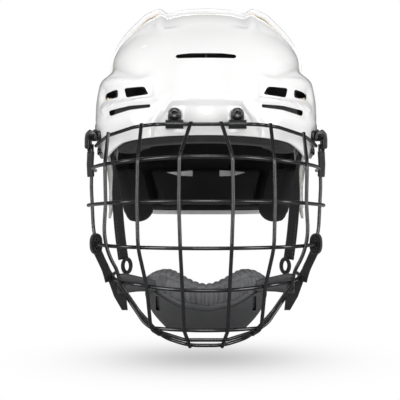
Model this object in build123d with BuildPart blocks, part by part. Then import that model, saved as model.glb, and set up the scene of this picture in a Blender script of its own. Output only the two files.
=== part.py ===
from build123d import *
import os
from math import sqrt

os.makedirs("parts", exist_ok=True)

# An ice hockey helmet with a wire face cage, for an adult medium head.
# Millimetres. The origin is the middle of the head at the ear holes, the face looks along -Y,
# +Z is up, and left and right are the wearer's, so left is +X.

# Shell form, at the outer face of the front shell
shell_half_width = 102.5
shell_front_reach = 123.0
shell_back_reach = 121.0
widest_y = 5.0
crown_height = 147.5
shell_wall = 3.0
shell_gap = 0.6
liner_thickness = 15.0
soft_gap = 0.3
pad_gap = 1.5
overrun = 60.0

# Travel of the rear shell on the front one
size_travel = 15.0

# Lower edge of the front shell, read from the side
brow_z = 30.0
brow_side_y = -82.0
brow_side_z = 25.0
temple_y = -67.0
temple_z = 20.0
cheek_y = -45.0
cheek_z = 12.0
ear_front_y = -20.0
ear_front_z = 11.0
ear_top_front_y = 0.0
ear_top_back_y = 25.0
ear_top_z = 22.0
ear_back_y = 40.0
ear_back_z = 6.0
brow_pad_drop = 6.0

# Tail of the front shell, under the rear shell
tail_low_y = 56.0
tail_mid_y = 70.0
tail_mid_z = 30.0
tail_high_y = 62.0
tail_high_z = 70.0
tail_top_y = 50.0
tail_top_z = 100.0

# Front edge of the rear shell and its lower edge
seam_top_y = 8.0
seam_high_y = 12.0
seam_high_z = 105.0
seam_mid_y = 30.0
seam_mid_z = 62.0
seam_low_y = 38.0
seam_low_z = 30.0
seam_end_y = 44.0
seam_end_z = 8.0
lobe_y = 50.0
lobe_z = -12.0
nape_side_y = 62.0
nape_side_z = -32.0
nape_y = 85.0
nape_z = -41.0

# Seams between the pads of the liner
front_pad_back_y = -60.0
forehead_pad_z = 60.0
crown_pad_z = 100.0
side_pad_bottom_z = 25.0
rear_pad_bottom_z = 14.0
rear_channel = 23.0

# Screws, all with round heads
screw_radius = 2.5
small_screw_radius = 1.8
screw_clear = 0.1
head_height = 3.0
small_head_height = 1.8

# Wire of the cage
wire_diameter = 3.2
weld_gap = 0.2
pitch = wire_diameter + weld_gap

# Clips that the top bar turns in
bar_stand = 1.0
bar_y = -shell_front_reach - bar_stand
bar_z = 37.0
clip_x = 26.7
clip_width = 15.0
clip_radius = 3.7
bar_clear = 0.1
clip_screw_z = 46.0
clip_tab_radius = 5.6
clip_face_set = 5.0
clip_face_y = clip_face_set - shell_front_reach
clip_head_radius = 5.2
clip_nut_radius = 5.5
clip_nut_set = 15.5
clip_nut_thickness = 3.5
clip_nut_front_y = clip_nut_set - shell_front_reach
clip_nut_back_y = clip_nut_front_y + clip_nut_thickness

SIDES = {"left": 1, "right": -1}

# Levels of the shell form, from under the nape to the crown, as shares of the shell's sizes
height_shares = [-0.42, -0.15, 0.10, 0.24, 0.40, 0.52, 0.62, 0.72, 0.87, 0.96, 1.0]
width_shares = [0.84, 0.92, 0.975, 1.0, 1.0, 0.967, 0.895, 0.832, 0.70, 0.565, 0.47]
front_shares = [0.86, 0.93, 0.98, 1.0, 0.99, 0.955, 0.895, 0.80, 0.60, 0.39, 0.20]
back_shares = [0.80, 0.93, 0.99, 1.0, 1.0, 0.975, 0.93, 0.865, 0.69, 0.477, 0.30]
# How far behind the widest line the middle of each level lies, where the crown rises to the back
middle_shares = [0, 0, 0, 0, 0, 0, 0, 0, 0.01, 0.06, 0.10]
# How much of a layer's growth goes up and how much goes outward at each level
rise_shares = [0, 0, 0, 0, 0, 0.15, 0.3, 0.5, 0.75, 0.95, 1.0]
spread_shares = [1, 1, 1, 1, 1, 1, 0.95, 0.87, 0.66, 0.5, 0.4]

head_forms = {}


def egg_outline(half_width, front, back, centre_y):
    """A closed egg of four quarter ellipses."""
    EllipticalCenterArc((0, centre_y), half_width, back, 0, arc_size=90)
    EllipticalCenterArc((0, centre_y), half_width, back, 90, arc_size=90)
    EllipticalCenterArc((0, centre_y), half_width, front, 180, arc_size=90)
    EllipticalCenterArc((0, centre_y), half_width, front, 270, arc_size=90)


def head_form(growth):
    """The solid inside the shell form, grown or shrunk evenly from the front shell's outer face."""
    if growth not in head_forms:
        outlines = zip(width_shares, front_shares, back_shares, middle_shares)
        levels = zip(height_shares, outlines, rise_shares, spread_shares)
        with BuildPart() as form:
            for height, (width, front, back, middle), rise, spread in levels:
                with BuildSketch(Plane.XY.offset(height * crown_height + rise * growth)):
                    with BuildLine():
                        egg_outline(
                            width * shell_half_width + spread * growth,
                            front * shell_front_reach + spread * growth,
                            back * shell_back_reach + spread * growth,
                            widest_y + middle * shell_back_reach,
                        )
                    make_face()
            loft()
        head_forms[growth] = form.part
    return head_forms[growth]


def side_prism(outline, first_x=-shell_half_width - overrun, last_x=shell_half_width + overrun):
    """A block with an outline read from the side, in y and z, between two x."""
    with BuildPart() as prism:
        with BuildSketch(Plane.YZ.offset(first_x)):
            with BuildLine():
                Polyline(*outline, close=True)
            make_face()
        extrude(amount=last_x - first_x)
    return prism.part


def front_prism(outline, first_y, last_y):
    """A block with an outline read from the front, in x and z, between two y."""
    with BuildPart() as prism:
        with BuildSketch(Plane.XZ.offset(-last_y)):
            with BuildLine():
                Polyline(*outline, close=True)
            make_face()
        extrude(amount=last_y - first_y)
    return prism.part


def block(low, high):
    """A plain block between two corners."""
    outline = [(low[1], low[2]), (high[1], low[2]), (high[1], high[2]), (low[1], high[2])]
    return side_prism(outline, low[0], high[0])


def rod(start, end, radius):
    """A round bar from one point to another."""
    with BuildPart() as bar:
        run = Vector(*end) - Vector(*start)
        with BuildSketch(Plane(origin=start, z_dir=run)):
            Circle(radius)
        extrude(amount=run.length)
    return bar.part


# Forms sunk into both shells: a channel at each side of the crown and a groove above the side band
relief_depth = 3.0
channel_inner_x = 28.0
channel_outer_x = 39.5
channel_front_z = 126.0
channel_back_y = 76.0
groove_inner_x = 50.0
groove_bend_x = 58.0
groove_rise_x = 74.0
groove_low_z = 88.0
groove_high_z = 96.4
groove_fall = 8.2
sunk_forms = {}


def relief_zones(growth):
    """The channels and grooves, narrower farther out so that the walls keep their thickness."""
    far_x = shell_half_width + overrun
    low_z = groove_low_z + growth
    high_z = groove_high_z - growth
    groove_outline = [
        (groove_inner_x + growth, low_z - groove_fall),
        (groove_bend_x, low_z - groove_fall),
        (groove_rise_x, low_z),
        (far_x, low_z),
        (far_x, high_z),
        (groove_rise_x, high_z),
        (groove_bend_x, high_z - groove_fall),
        (groove_inner_x + growth, high_z - groove_fall),
    ]
    with BuildPart() as zones:
        for side in SIDES.values():
            add(
                front_prism(
                    flipped(groove_outline, side),
                    -shell_front_reach - overrun,
                    shell_back_reach + overrun,
                )
            )
            first_x, last_x = sorted([side * (channel_inner_x + growth), side * (channel_outer_x - growth)])
            add(
                block(
                    (first_x, -shell_front_reach, channel_front_z + growth),
                    (last_x, channel_back_y - growth, crown_height + overrun),
                )
            )
    return zones.part


def sunk_form(growth):
    """The solid inside the shell form, with the channels and grooves sunk into it."""
    if growth not in sunk_forms:
        with BuildPart() as sunk:
            add(relief_zones(growth))
            add(head_form(growth - relief_depth), mode=Mode.SUBTRACT)
        with BuildPart() as form:
            add(head_form(growth))
            add(sunk.part, mode=Mode.SUBTRACT)
        sunk_forms[growth] = form.part
    return sunk_forms[growth]


def layer(outer, inner, zone, outer_form=head_form, inner_form=head_form):
    """The part of the shell form between two growths that lies in a zone."""
    with BuildPart() as piece:
        add(outer_form(outer))
        add(inner_form(inner), mode=Mode.SUBTRACT)
        add(zone, mode=Mode.INTERSECT)
    return piece.part


def ribbon(points, thickness, first_y, last_y):
    """Webbing whose route is read from the front and whose width runs front to back."""
    with BuildPart() as band:
        with BuildSketch(Plane.XZ.offset(-last_y)):
            with BuildLine():
                Polyline(*points)
                offset(amount=thickness / 2, side=Side.BOTH)
            make_face()
        extrude(amount=last_y - first_y)
    return band.part


def flipped(outline, side):
    """An outline read from the front, for the left side or mirrored for the right."""
    return [(side * x, z) for x, z in outline]


def finish(piece, name):
    """Label a piece and write it."""
    piece.label = name
    export_step(piece, f"parts/{name}.step")


# Front shell: a moulded shell with a forehead slot, side vents and the slots of the size screws
vent_inner_low_x = 50.5
vent_inner_high_x = 55.0
vent_inner_end_x = 71.0
vent_low_z = 63.0
vent_mid_z = 66.5
vent_high_z = 72.0
vent_outer_start_x = 79.0
vent_outer_end_x = 91.0
slot_start_x = 48.0
slot_mid_x = 68.0
slot_end_x = 86.5
slot_start_z = 53.5
slot_mid_z = 52.0
slot_end_z = 48.0
slot_height = 3.2
forehead_slot_half = 26.0
forehead_slot_slant = 2.5
forehead_slot_low_z = 95.0
forehead_slot_high_z = 99.4
size_screw_y = 40.0
size_screw_z = 42.0
size_screw_radius = 2.0
size_slot_clear = 0.4

inner_vent = [
    (vent_inner_low_x, vent_mid_z),
    (vent_inner_high_x, vent_high_z),
    (vent_inner_end_x, vent_high_z),
    (vent_inner_end_x, vent_low_z),
    (vent_inner_high_x, vent_low_z),
]
outer_vent = [
    (vent_outer_start_x, vent_low_z),
    (vent_outer_start_x, vent_high_z),
    (vent_outer_end_x, vent_high_z),
    (vent_outer_end_x, vent_mid_z),
]
lower_vent = [
    (slot_start_x, slot_start_z),
    (slot_start_x, slot_start_z + slot_height),
    (slot_mid_x, slot_mid_z + slot_height),
    (slot_end_x, slot_end_z + slot_height),
    (slot_end_x, slot_end_z),
    (slot_mid_x, slot_mid_z),
]
forehead_slot = [
    (-forehead_slot_half, forehead_slot_high_z),
    (forehead_slot_half, forehead_slot_high_z),
    (forehead_slot_half - forehead_slot_slant, forehead_slot_low_z),
    (forehead_slot_slant - forehead_slot_half, forehead_slot_low_z),
]


def vent_cuts():
    """Every vent as one tool, cut from the front to the widest line."""
    with BuildPart() as cuts:
        for side in SIDES.values():
            for outline in (inner_vent, outer_vent, lower_vent):
                add(front_prism(flipped(outline, side), -shell_front_reach - overrun, ear_front_y))
        add(front_prism(forehead_slot, -shell_front_reach - overrun, ear_front_y))
    return cuts.part


front_edge = [
    (-shell_front_reach - overrun, brow_z),
    (-shell_front_reach, brow_z),
    (brow_side_y, brow_side_z),
    (temple_y, temple_z),
    (cheek_y, cheek_z),
    (ear_front_y, ear_front_z),
    (ear_top_front_y, ear_top_z),
    (ear_top_back_y, ear_top_z),
    (ear_back_y, ear_back_z),
    (tail_low_y, ear_back_z),
    (tail_mid_y, tail_mid_z),
    (tail_high_y, tail_high_z),
    (tail_top_y, tail_top_z),
    (tail_top_y, crown_height + overrun),
    (-shell_front_reach - overrun, crown_height + overrun),
]
size_slot_low = size_screw_z - size_screw_radius - size_slot_clear
size_slot_high = size_screw_z + size_screw_radius + size_slot_clear
size_slot_front = size_screw_y - size_screw_radius - size_slot_clear
size_slot_back = size_screw_y + size_travel + size_screw_radius + size_slot_clear
ear_screw_y = -33.0
ear_screw_z = 17.0
hook_screw_y = -18.0
hook_screw_z = 33.0

with BuildPart() as front_shell:
    add(layer(0, -shell_wall, side_prism(front_edge), sunk_form, sunk_form))
    add(vent_cuts(), mode=Mode.SUBTRACT)
    for side in SIDES.values():
        reach = side * (shell_half_width + overrun)
        hole = screw_radius + screw_clear
        add(
            rod((side * clip_x, bar_y, clip_screw_z), (side * clip_x, 0, clip_screw_z), hole),
            mode=Mode.SUBTRACT,
        )
        hole = small_screw_radius + screw_clear
        for y, z in ((ear_screw_y, ear_screw_z), (hook_screw_y, hook_screw_z)):
            add(rod((0, y, z), (reach, y, z), hole), mode=Mode.SUBTRACT)
    add(
        side_prism(
            [
                (size_slot_front, size_slot_low),
                (size_slot_back, size_slot_low),
                (size_slot_back, size_slot_high),
                (size_slot_front, size_slot_high),
            ]
        ),
        mode=Mode.SUBTRACT,
    )
finish(front_shell.part, "front_shell")

# Liner of the front shell: moulded foam pads, each held to the shell with hook and loop
pad_outer = -shell_wall - soft_gap
pad_inner = -shell_wall - soft_gap - liner_thickness
nut_pocket_clear = 1.0
nut_pocket_back_y = clip_nut_back_y + nut_pocket_clear

brow_zone = [
    (-shell_front_reach - overrun, brow_z - brow_pad_drop),
    (-shell_front_reach, brow_z - brow_pad_drop),
    (brow_side_y, brow_side_z - brow_pad_drop),
    (temple_y, temple_z - brow_pad_drop),
    (front_pad_back_y, temple_z - brow_pad_drop),
    (front_pad_back_y, forehead_pad_z - pad_gap),
    (-shell_front_reach - overrun, forehead_pad_z - pad_gap),
]
with BuildPart() as brow_pad:
    add(layer(pad_outer, pad_inner, side_prism(brow_zone), sunk_form))
    add(vent_cuts(), mode=Mode.SUBTRACT)
    for side in SIDES.values():
        add(
            rod(
                (side * clip_x, bar_y, clip_screw_z),
                (side * clip_x, nut_pocket_back_y, clip_screw_z),
                clip_nut_radius + nut_pocket_clear,
            ),
            mode=Mode.SUBTRACT,
        )
finish(brow_pad.part, "brow_pad")

forehead_zone = [
    (-shell_front_reach - overrun, forehead_pad_z),
    (front_pad_back_y, forehead_pad_z),
    (front_pad_back_y, crown_pad_z - pad_gap),
    (-shell_front_reach - overrun, crown_pad_z - pad_gap),
]
with BuildPart() as forehead_pad:
    add(layer(pad_outer, pad_inner, side_prism(forehead_zone), sunk_form))
    add(vent_cuts(), mode=Mode.SUBTRACT)
finish(forehead_pad.part, "forehead_pad")

crown_zone = [
    (-shell_front_reach, crown_pad_z),
    (tail_top_y - pad_gap, crown_pad_z),
    (tail_top_y - pad_gap, crown_height + overrun),
    (-shell_front_reach, crown_height + overrun),
]
with BuildPart() as crown_pad:
    add(layer(pad_outer, pad_inner, side_prism(crown_zone), sunk_form))
finish(crown_pad.part, "crown_pad")

size_pocket_margin = 8.0
size_pocket_set = 19.5
size_pocket_inner_x = shell_half_width - size_pocket_set
side_zone = [
    (front_pad_back_y + pad_gap, side_pad_bottom_z),
    (tail_mid_y - pad_gap, side_pad_bottom_z),
    (tail_mid_y - pad_gap, tail_mid_z),
    (tail_high_y - pad_gap, tail_high_z),
    (tail_top_y - pad_gap, crown_pad_z - pad_gap),
    (front_pad_back_y + pad_gap, crown_pad_z - pad_gap),
]
for name, side in SIDES.items():
    with BuildPart() as side_pad:
        near_x, far_x = sorted([0, side * (shell_half_width + overrun)])
        add(layer(pad_outer, pad_inner, side_prism(side_zone, near_x, far_x), sunk_form))
        add(vent_cuts(), mode=Mode.SUBTRACT)
        pocket = sorted([side * size_pocket_inner_x, side * (shell_half_width + overrun)])
        add(
            block(
                (pocket[0], size_slot_front - size_pocket_margin, size_slot_low - size_pocket_margin),
                (pocket[1], shell_back_reach, size_slot_high + size_pocket_margin),
            ),
            mode=Mode.SUBTRACT,
        )
        hole = small_screw_radius + screw_clear + soft_gap
        add(
            rod((0, hook_screw_y, hook_screw_z), (side * shell_half_width, hook_screw_y, hook_screw_z), hole),
            mode=Mode.SUBTRACT,
        )
    finish(side_pad.part, f"side_pad_{name}")

# Cage clips: plastic saddles screwed to the forehead, the top bar turns in their bores
surface_gap = 0.15
for name, side in SIDES.items():
    with BuildPart() as cage_clip:
        first_x = side * clip_x - clip_width / 2
        last_x = side * clip_x + clip_width / 2
        add(rod((first_x, bar_y, bar_z), (last_x, bar_y, bar_z), clip_radius))
        add(block((first_x, bar_y, bar_z - clip_radius), (last_x, clip_nut_front_y, bar_z + clip_radius)))
        tab_x = side * clip_x
        add(
            block(
                (tab_x - clip_tab_radius, clip_face_y, bar_z),
                (tab_x + clip_tab_radius, clip_nut_front_y, clip_screw_z),
            )
        )
        add(rod((tab_x, clip_face_y, clip_screw_z), (tab_x, clip_nut_front_y, clip_screw_z), clip_tab_radius))
        add(head_form(surface_gap), mode=Mode.SUBTRACT)
        bore = wire_diameter / 2 + bar_clear
        add(
            rod((first_x - overrun, bar_y, bar_z), (last_x + overrun, bar_y, bar_z), bore),
            mode=Mode.SUBTRACT,
        )
        hole = screw_radius + screw_clear
        add(rod((tab_x, bar_y, clip_screw_z), (tab_x, 0, clip_screw_z), hole), mode=Mode.SUBTRACT)
    finish(cage_clip.part, f"cage_clip_{name}")

clip_head_round = 1.6
screw_seat_gap = 0.05
with BuildPart() as cage_clip_screws:
    for side in SIDES.values():
        head_y = clip_face_y - screw_seat_gap
        with BuildSketch(Plane.XZ.offset(-head_y)):
            with Locations((side * clip_x, clip_screw_z)):
                Circle(clip_head_radius)
        extrude(amount=head_height)
        shank_end = (side * clip_x, clip_nut_back_y, clip_screw_z)
        add(rod((side * clip_x, head_y, clip_screw_z), shank_end, screw_radius))
    head_edges = cage_clip_screws.edges().filter_by(GeomType.CIRCLE).group_by(Axis.Y)[0]
    fillet(head_edges, radius=clip_head_round)
finish(cage_clip_screws.part, "cage_clip_screws")

with BuildPart() as cage_clip_nuts:
    for side in SIDES.values():
        with BuildSketch(Plane.XZ.offset(-clip_nut_back_y)):
            with Locations((side * clip_x, clip_screw_z)):
                Circle(clip_nut_radius)
                Circle(screw_radius + screw_clear, mode=Mode.SUBTRACT)
        extrude(amount=clip_nut_back_y - clip_nut_front_y)
finish(cage_clip_nuts.part, "cage_clip_nuts")

# J hooks: plastic hooks on the shell's sides that catch the cage's upper ends
hook_front_y = -41.0
hook_back_y = -29.0
hook_base_back_y = -12.0
hook_root_z = 27.5
hook_base_top_z = 38.0
hook_base_thickness = 2.5
hook_outer_stand = 7.1
hook_gap_stand = 3.9
hook_arch_mid_stand = 2.0
hook_arch_low_set = 0.5
hook_leg_set = 2.2
hook_inner_set = 8.5
hook_inner_x = shell_half_width - hook_inner_set
hook_leg_x = shell_half_width - hook_leg_set
hook_arch_low_x = shell_half_width - hook_arch_low_set
hook_arch_mid_x = shell_half_width + hook_arch_mid_stand
hook_gap_x = shell_half_width + hook_gap_stand
hook_outer_x = shell_half_width + hook_outer_stand
hook_top_z = 36.5
hook_arch_z = 31.8
hook_tip_z = 19.0
hook_shoulder_z = 33.5
hook_outline = [
    (hook_inner_x, hook_root_z),
    (hook_inner_x, hook_shoulder_z),
    (hook_leg_x, hook_top_z),
    (hook_arch_mid_x, hook_top_z),
    (hook_gap_x + small_screw_radius, hook_shoulder_z),
    (hook_outer_x, hook_root_z),
    (hook_outer_x, hook_tip_z),
    (hook_gap_x, hook_tip_z),
    (hook_gap_x, hook_root_z),
    (hook_arch_mid_x, hook_arch_z - small_screw_radius / 2),
    (hook_arch_low_x, hook_arch_z),
    (hook_leg_x, hook_arch_z - small_screw_radius),
    (hook_leg_x, hook_root_z),
]


def hook_arch(side):
    """The arched part of a J hook, clear of the shell."""
    with BuildPart() as arch:
        add(front_prism(flipped(hook_outline, side), hook_front_y, hook_back_y))
        add(head_form(surface_gap), mode=Mode.SUBTRACT)
    return arch.part


for name, side in SIDES.items():
    with BuildPart() as j_hook:
        near_x, far_x = sorted([0, side * (shell_half_width + overrun)])
        base_zone = block((near_x, hook_front_y, hook_root_z), (far_x, hook_base_back_y, hook_base_top_z))
        add(layer(surface_gap + hook_base_thickness, surface_gap, base_zone))
        add(hook_arch(side))
        hole = small_screw_radius + screw_clear
        far_x = side * (shell_half_width + overrun)
        hole_end = (far_x, hook_screw_y, hook_screw_z)
        add(rod((0, hook_screw_y, hook_screw_z), hole_end, hole), mode=Mode.SUBTRACT)
    finish(j_hook.part, f"j_hook_{name}")


def side_at(level_share, y, growth):
    """The x of the shell form at a level, given as shares, and a y ahead of the widest line."""
    width, front = level_share
    half_width = width * shell_half_width + growth
    reach = front * shell_front_reach + growth
    return half_width * sqrt(1 - ((y - widest_y) / reach) ** 2)


# The shell's width and front reach at the height of the hooks and ear screws, as shares
hook_level_shares = (1.0, 1.0)
ear_level_shares = (0.985, 0.985)
hook_head_radius = 3.6
ear_head_radius = 3.4
hook_seat_shell_x = side_at(hook_level_shares, hook_screw_y + hook_head_radius, 0)
hook_head_seat_x = hook_seat_shell_x + surface_gap + hook_base_thickness
hook_screw_reach = 9.0
with BuildPart() as j_hook_screws:
    for side in SIDES.values():
        seat = side * (hook_head_seat_x + screw_seat_gap)
        head_end = seat + side * small_head_height
        add(rod((seat, hook_screw_y, hook_screw_z), (head_end, hook_screw_y, hook_screw_z), hook_head_radius))
        shank_end = seat - side * hook_screw_reach
        shank_tip = (shank_end, hook_screw_y, hook_screw_z)
        add(rod((seat, hook_screw_y, hook_screw_z), shank_tip, small_screw_radius))
finish(j_hook_screws.part, "j_hook_screws")

# Retaining straps: short webbing tabs outside the cage's side wires, snapped to the shell
tab_stand = 3.8
tab_inner_x = shell_half_width + tab_stand
tab_thickness = 2.0
tab_front_y = -40.0
tab_bend_y = -26.0
tab_low_back_y = -22.0
tab_top_front_y = -14.0
tab_back_y = 2.0
tab_bottom_z = -6.0
tab_front_top_z = 17.0
tab_top_z = 38.0
tab_back_low_z = 26.0
stud_y = -6.0
stud_z = 32.0
stud_radius = 4.5
stud_shank_radius = 1.5
stud_cap_radius = 5.5
stud_cap_height = 1.4
tab_outline = [
    (tab_front_y, tab_bottom_z),
    (tab_front_y, tab_front_top_z),
    (tab_bend_y, tab_front_top_z),
    (tab_top_front_y, tab_top_z),
    (tab_back_y, tab_top_z),
    (tab_back_y, tab_back_low_z),
    (tab_low_back_y, tab_bottom_z),
]
for name, side in SIDES.items():
    with BuildPart() as retaining_strap:
        near_x, far_x = sorted([side * tab_inner_x, side * (tab_inner_x + tab_thickness)])
        add(side_prism(tab_outline, near_x, far_x))
        hole = stud_shank_radius + screw_clear
        add(
            rod((0, stud_y, stud_z), (side * (shell_half_width + overrun), stud_y, stud_z), hole),
            mode=Mode.SUBTRACT,
        )
    finish(retaining_strap.part, f"retaining_strap_{name}")

with BuildPart() as retaining_studs:
    for side in SIDES.values():
        post_end = side * (tab_inner_x - screw_clear)
        post_start = side * side_at(hook_level_shares, front_pad_back_y, 0)
        add(rod((post_start, stud_y, stud_z), (post_end, stud_y, stud_z), stud_radius))
        cap_start = side * (tab_inner_x + tab_thickness + screw_clear)
        add(rod((post_end, stud_y, stud_z), (cap_start, stud_y, stud_z), stud_shank_radius))
        cap_end = cap_start + side * stud_cap_height
        add(rod((cap_start, stud_y, stud_z), (cap_end, stud_y, stud_z), stud_cap_radius))
    add(head_form(surface_gap), mode=Mode.SUBTRACT)
finish(retaining_studs.part, "retaining_studs")

# Ear guards: clear moulded loops that hang inside the shell's edge and follow the head
guard_thickness = 2.0
guard_reach = 40.0
guard_drop = 45.0
# Places in y and z, as shares of the reach and the drop
guard_outline_shares = [
    (-1.0, 0.5333),
    (-0.25, 0.5333),
    (0.05, 0.3111),
    (0.75, 0.3111),
    (0.925, -0.0889),
    (0.7, -0.7111),
    (0.2, -1.0),
    (-0.3, -0.9333),
    (-0.7, -0.5556),
    (-1.0, 0),
]
guard_window_shares = [
    (-0.675, 0.1778),
    (-0.1, 0.0444),
    (0.6, 0.0444),
    (0.65, -0.1333),
    (0.45, -0.5556),
    (0.075, -0.7556),
    (-0.225, -0.7111),
    (-0.5, -0.4),
]
guard_outline = [(y * guard_reach, z * guard_drop) for y, z in guard_outline_shares]
guard_window = [(y * guard_reach, z * guard_drop) for y, z in guard_window_shares]
for name, side in SIDES.items():
    with BuildPart() as ear_guard:
        near_x, far_x = sorted([0, side * (shell_half_width + overrun)])
        add(layer(pad_outer, pad_outer - guard_thickness, side_prism(guard_outline, near_x, far_x)))
        add(side_prism(guard_window, near_x, far_x), mode=Mode.SUBTRACT)
        hole = small_screw_radius + screw_clear
        reach = side * (shell_half_width + overrun)
        add(rod((0, ear_screw_y, ear_screw_z), (reach, ear_screw_y, ear_screw_z), hole), mode=Mode.SUBTRACT)
    finish(ear_guard.part, f"ear_guard_{name}")

# Chin straps: webbing from the temple screws, with a sewn loop at the lower end
strap_thickness = 1.6
strap_front_y = -44.0
strap_back_y = -30.0
strap_top_set = 16.9
strap_top_x = shell_half_width - strap_top_set
strap_drop = 81.2
# Places in x and z, as shares of the top's x and the drop
strap_shares = [(1.0, 0.2648), (0.9614, -0.0616), (0.9299, -0.4926), (0.875, -1.0)]
strap_route = [(x * strap_top_x, z * strap_drop) for x, z in strap_shares]
strap_loop_set = 12.0
strap_loop_drop = 5.8
strap_loop_x = strap_top_x - strap_loop_set
strap_loop_z = -strap_drop - strap_loop_drop
strap_loop_half_width = 4.6
strap_loop_half_height = 7.0
for name, side in SIDES.items():
    with BuildPart() as chin_strap:
        add(ribbon(flipped(strap_route, side), strap_thickness, strap_front_y, strap_back_y))
        with BuildSketch(Plane.XZ.offset(-strap_back_y)):
            with Locations((side * strap_loop_x, strap_loop_z)):
                Ellipse(strap_loop_half_width, strap_loop_half_height)
                Ellipse(
                    strap_loop_half_width - strap_thickness,
                    strap_loop_half_height - strap_thickness,
                    mode=Mode.SUBTRACT,
                )
        extrude(amount=strap_back_y - strap_front_y)
        hole = small_screw_radius + screw_clear
        reach = side * shell_half_width
        add(rod((0, ear_screw_y, ear_screw_z), (reach, ear_screw_y, ear_screw_z), hole), mode=Mode.SUBTRACT)
    finish(chin_strap.part, f"chin_strap_{name}")

strap_inner_set = 19.0
strap_inner_x = shell_half_width - strap_inner_set
ear_nut_thickness = 2.2
ear_head_seat_x = side_at(ear_level_shares, ear_screw_y + ear_head_radius, 0) + surface_gap
with BuildPart() as ear_screws:
    for side in SIDES.values():
        seat = side * ear_head_seat_x
        head_end = seat + side * small_head_height
        add(rod((seat, ear_screw_y, ear_screw_z), (head_end, ear_screw_y, ear_screw_z), ear_head_radius))
        shank_end = side * (strap_inner_x - ear_nut_thickness)
        add(rod((seat, ear_screw_y, ear_screw_z), (shank_end, ear_screw_y, ear_screw_z), small_screw_radius))
finish(ear_screws.part, "ear_screws")

with BuildPart() as ear_nuts:
    for side in SIDES.values():
        nut_start = side * strap_inner_x
        nut_end = side * (strap_inner_x - ear_nut_thickness)
        add(rod((nut_start, ear_screw_y, ear_screw_z), (nut_end, ear_screw_y, ear_screw_z), ear_head_radius))
        hole = small_screw_radius + screw_clear
        add(
            rod((0, ear_screw_y, ear_screw_z), (nut_start, ear_screw_y, ear_screw_z), hole),
            mode=Mode.SUBTRACT,
        )
finish(ear_nuts.part, "ear_nuts")

# Rear shell: lies over the tail of the front shell and slides back along it
rear_inner = shell_gap
rear_outer = shell_gap + shell_wall
rear_edge = [
    (seam_top_y, crown_height + overrun),
    (seam_high_y, seam_high_z),
    (seam_mid_y, seam_mid_z),
    (seam_low_y, seam_low_z),
    (seam_end_y, seam_end_z),
    (lobe_y, lobe_z),
    (nape_side_y, nape_side_z),
    (nape_y, nape_z),
    (shell_back_reach + overrun, nape_z),
    (shell_back_reach + overrun, crown_height + overrun),
]
with BuildPart() as rear_shell:
    add(layer(rear_outer, rear_inner, side_prism(rear_edge), sunk_form, sunk_form))
    hole = size_screw_radius + screw_clear
    reach = shell_half_width + overrun
    hole_end = (reach, size_screw_y, size_screw_z)
    add(rod((-reach, size_screw_y, size_screw_z), hole_end, hole), mode=Mode.SUBTRACT)
finish(rear_shell.part, "rear_shell")

# Size screws: each passes the rear shell and a slot in the front one, with its nut inside the slot
size_head_radius = 5.0
size_nut_radius = 5.2
size_nut_set = 14.2
size_nut_outer_x = shell_half_width - size_nut_set
size_nut_thickness = 3.5
form_swell = 0.3
size_head_x = form_swell + (
    (shell_half_width + rear_outer)
    * sqrt(1 - ((size_screw_y - size_head_radius - widest_y) / (shell_back_reach + rear_outer)) ** 2)
)
with BuildPart() as size_screws:
    for side in SIDES.values():
        seat_x = side * (size_head_x + screw_seat_gap)
        seat = (seat_x, size_screw_y, size_screw_z)
        add(rod(seat, (seat_x + side * head_height, size_screw_y, size_screw_z), size_head_radius))
        shank_end_x = side * (size_nut_outer_x - size_nut_thickness)
        add(rod(seat, (shank_end_x, size_screw_y, size_screw_z), size_screw_radius))
finish(size_screws.part, "size_screws")

with BuildPart() as size_nuts:
    for side in SIDES.values():
        nut_start = (side * size_nut_outer_x, size_screw_y, size_screw_z)
        nut_end = (side * (size_nut_outer_x - size_nut_thickness), size_screw_y, size_screw_z)
        add(rod(nut_start, nut_end, size_nut_radius))
        hole = size_screw_radius + screw_clear
        add(rod((0, size_screw_y, size_screw_z), nut_start, hole), mode=Mode.SUBTRACT)
finish(size_nuts.part, "size_nuts")

# Liner of the rear shell: thick pads behind the tail, thin ones at the nape and lobes behind the ears
rear_pad_outer = rear_inner - soft_gap
nape_pad_depth = 8.0
nape_pad_front_y = 80.0
nape_pad_bottom_z = -36.0
lobe_pad_depth = 13.0
lobe_pad_front_y = 47.0
lobe_pad_back_y = 78.0
lobe_pad_top_z = 4.0
lobe_pad_bottom_z = -49.0
rear_zone = [
    (tail_mid_y + pad_gap, rear_pad_bottom_z),
    (shell_back_reach + overrun, rear_pad_bottom_z),
    (shell_back_reach + overrun, crown_pad_z - pad_gap),
    (tail_top_y + pad_gap * 2, crown_pad_z - pad_gap),
    (tail_high_y + pad_gap, tail_high_z),
    (tail_mid_y + pad_gap, tail_mid_z),
]
rear_crown_zone = [
    (tail_top_y + pad_gap, crown_pad_z),
    (shell_back_reach + overrun, crown_pad_z),
    (shell_back_reach + overrun, crown_height + overrun),
    (tail_top_y + pad_gap, crown_height + overrun),
]
nape_zone = [
    (nape_pad_front_y, nape_pad_bottom_z),
    (shell_back_reach + overrun, nape_pad_bottom_z),
    (shell_back_reach + overrun, rear_pad_bottom_z - pad_gap),
    (nape_pad_front_y, rear_pad_bottom_z - pad_gap),
]
lobe_zone = [
    (lobe_pad_front_y, lobe_pad_top_z),
    (lobe_pad_front_y, lobe_z),
    (nape_side_y, lobe_pad_bottom_z),
    (lobe_pad_back_y, lobe_pad_bottom_z),
    (lobe_pad_back_y, lobe_pad_top_z),
]
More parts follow.
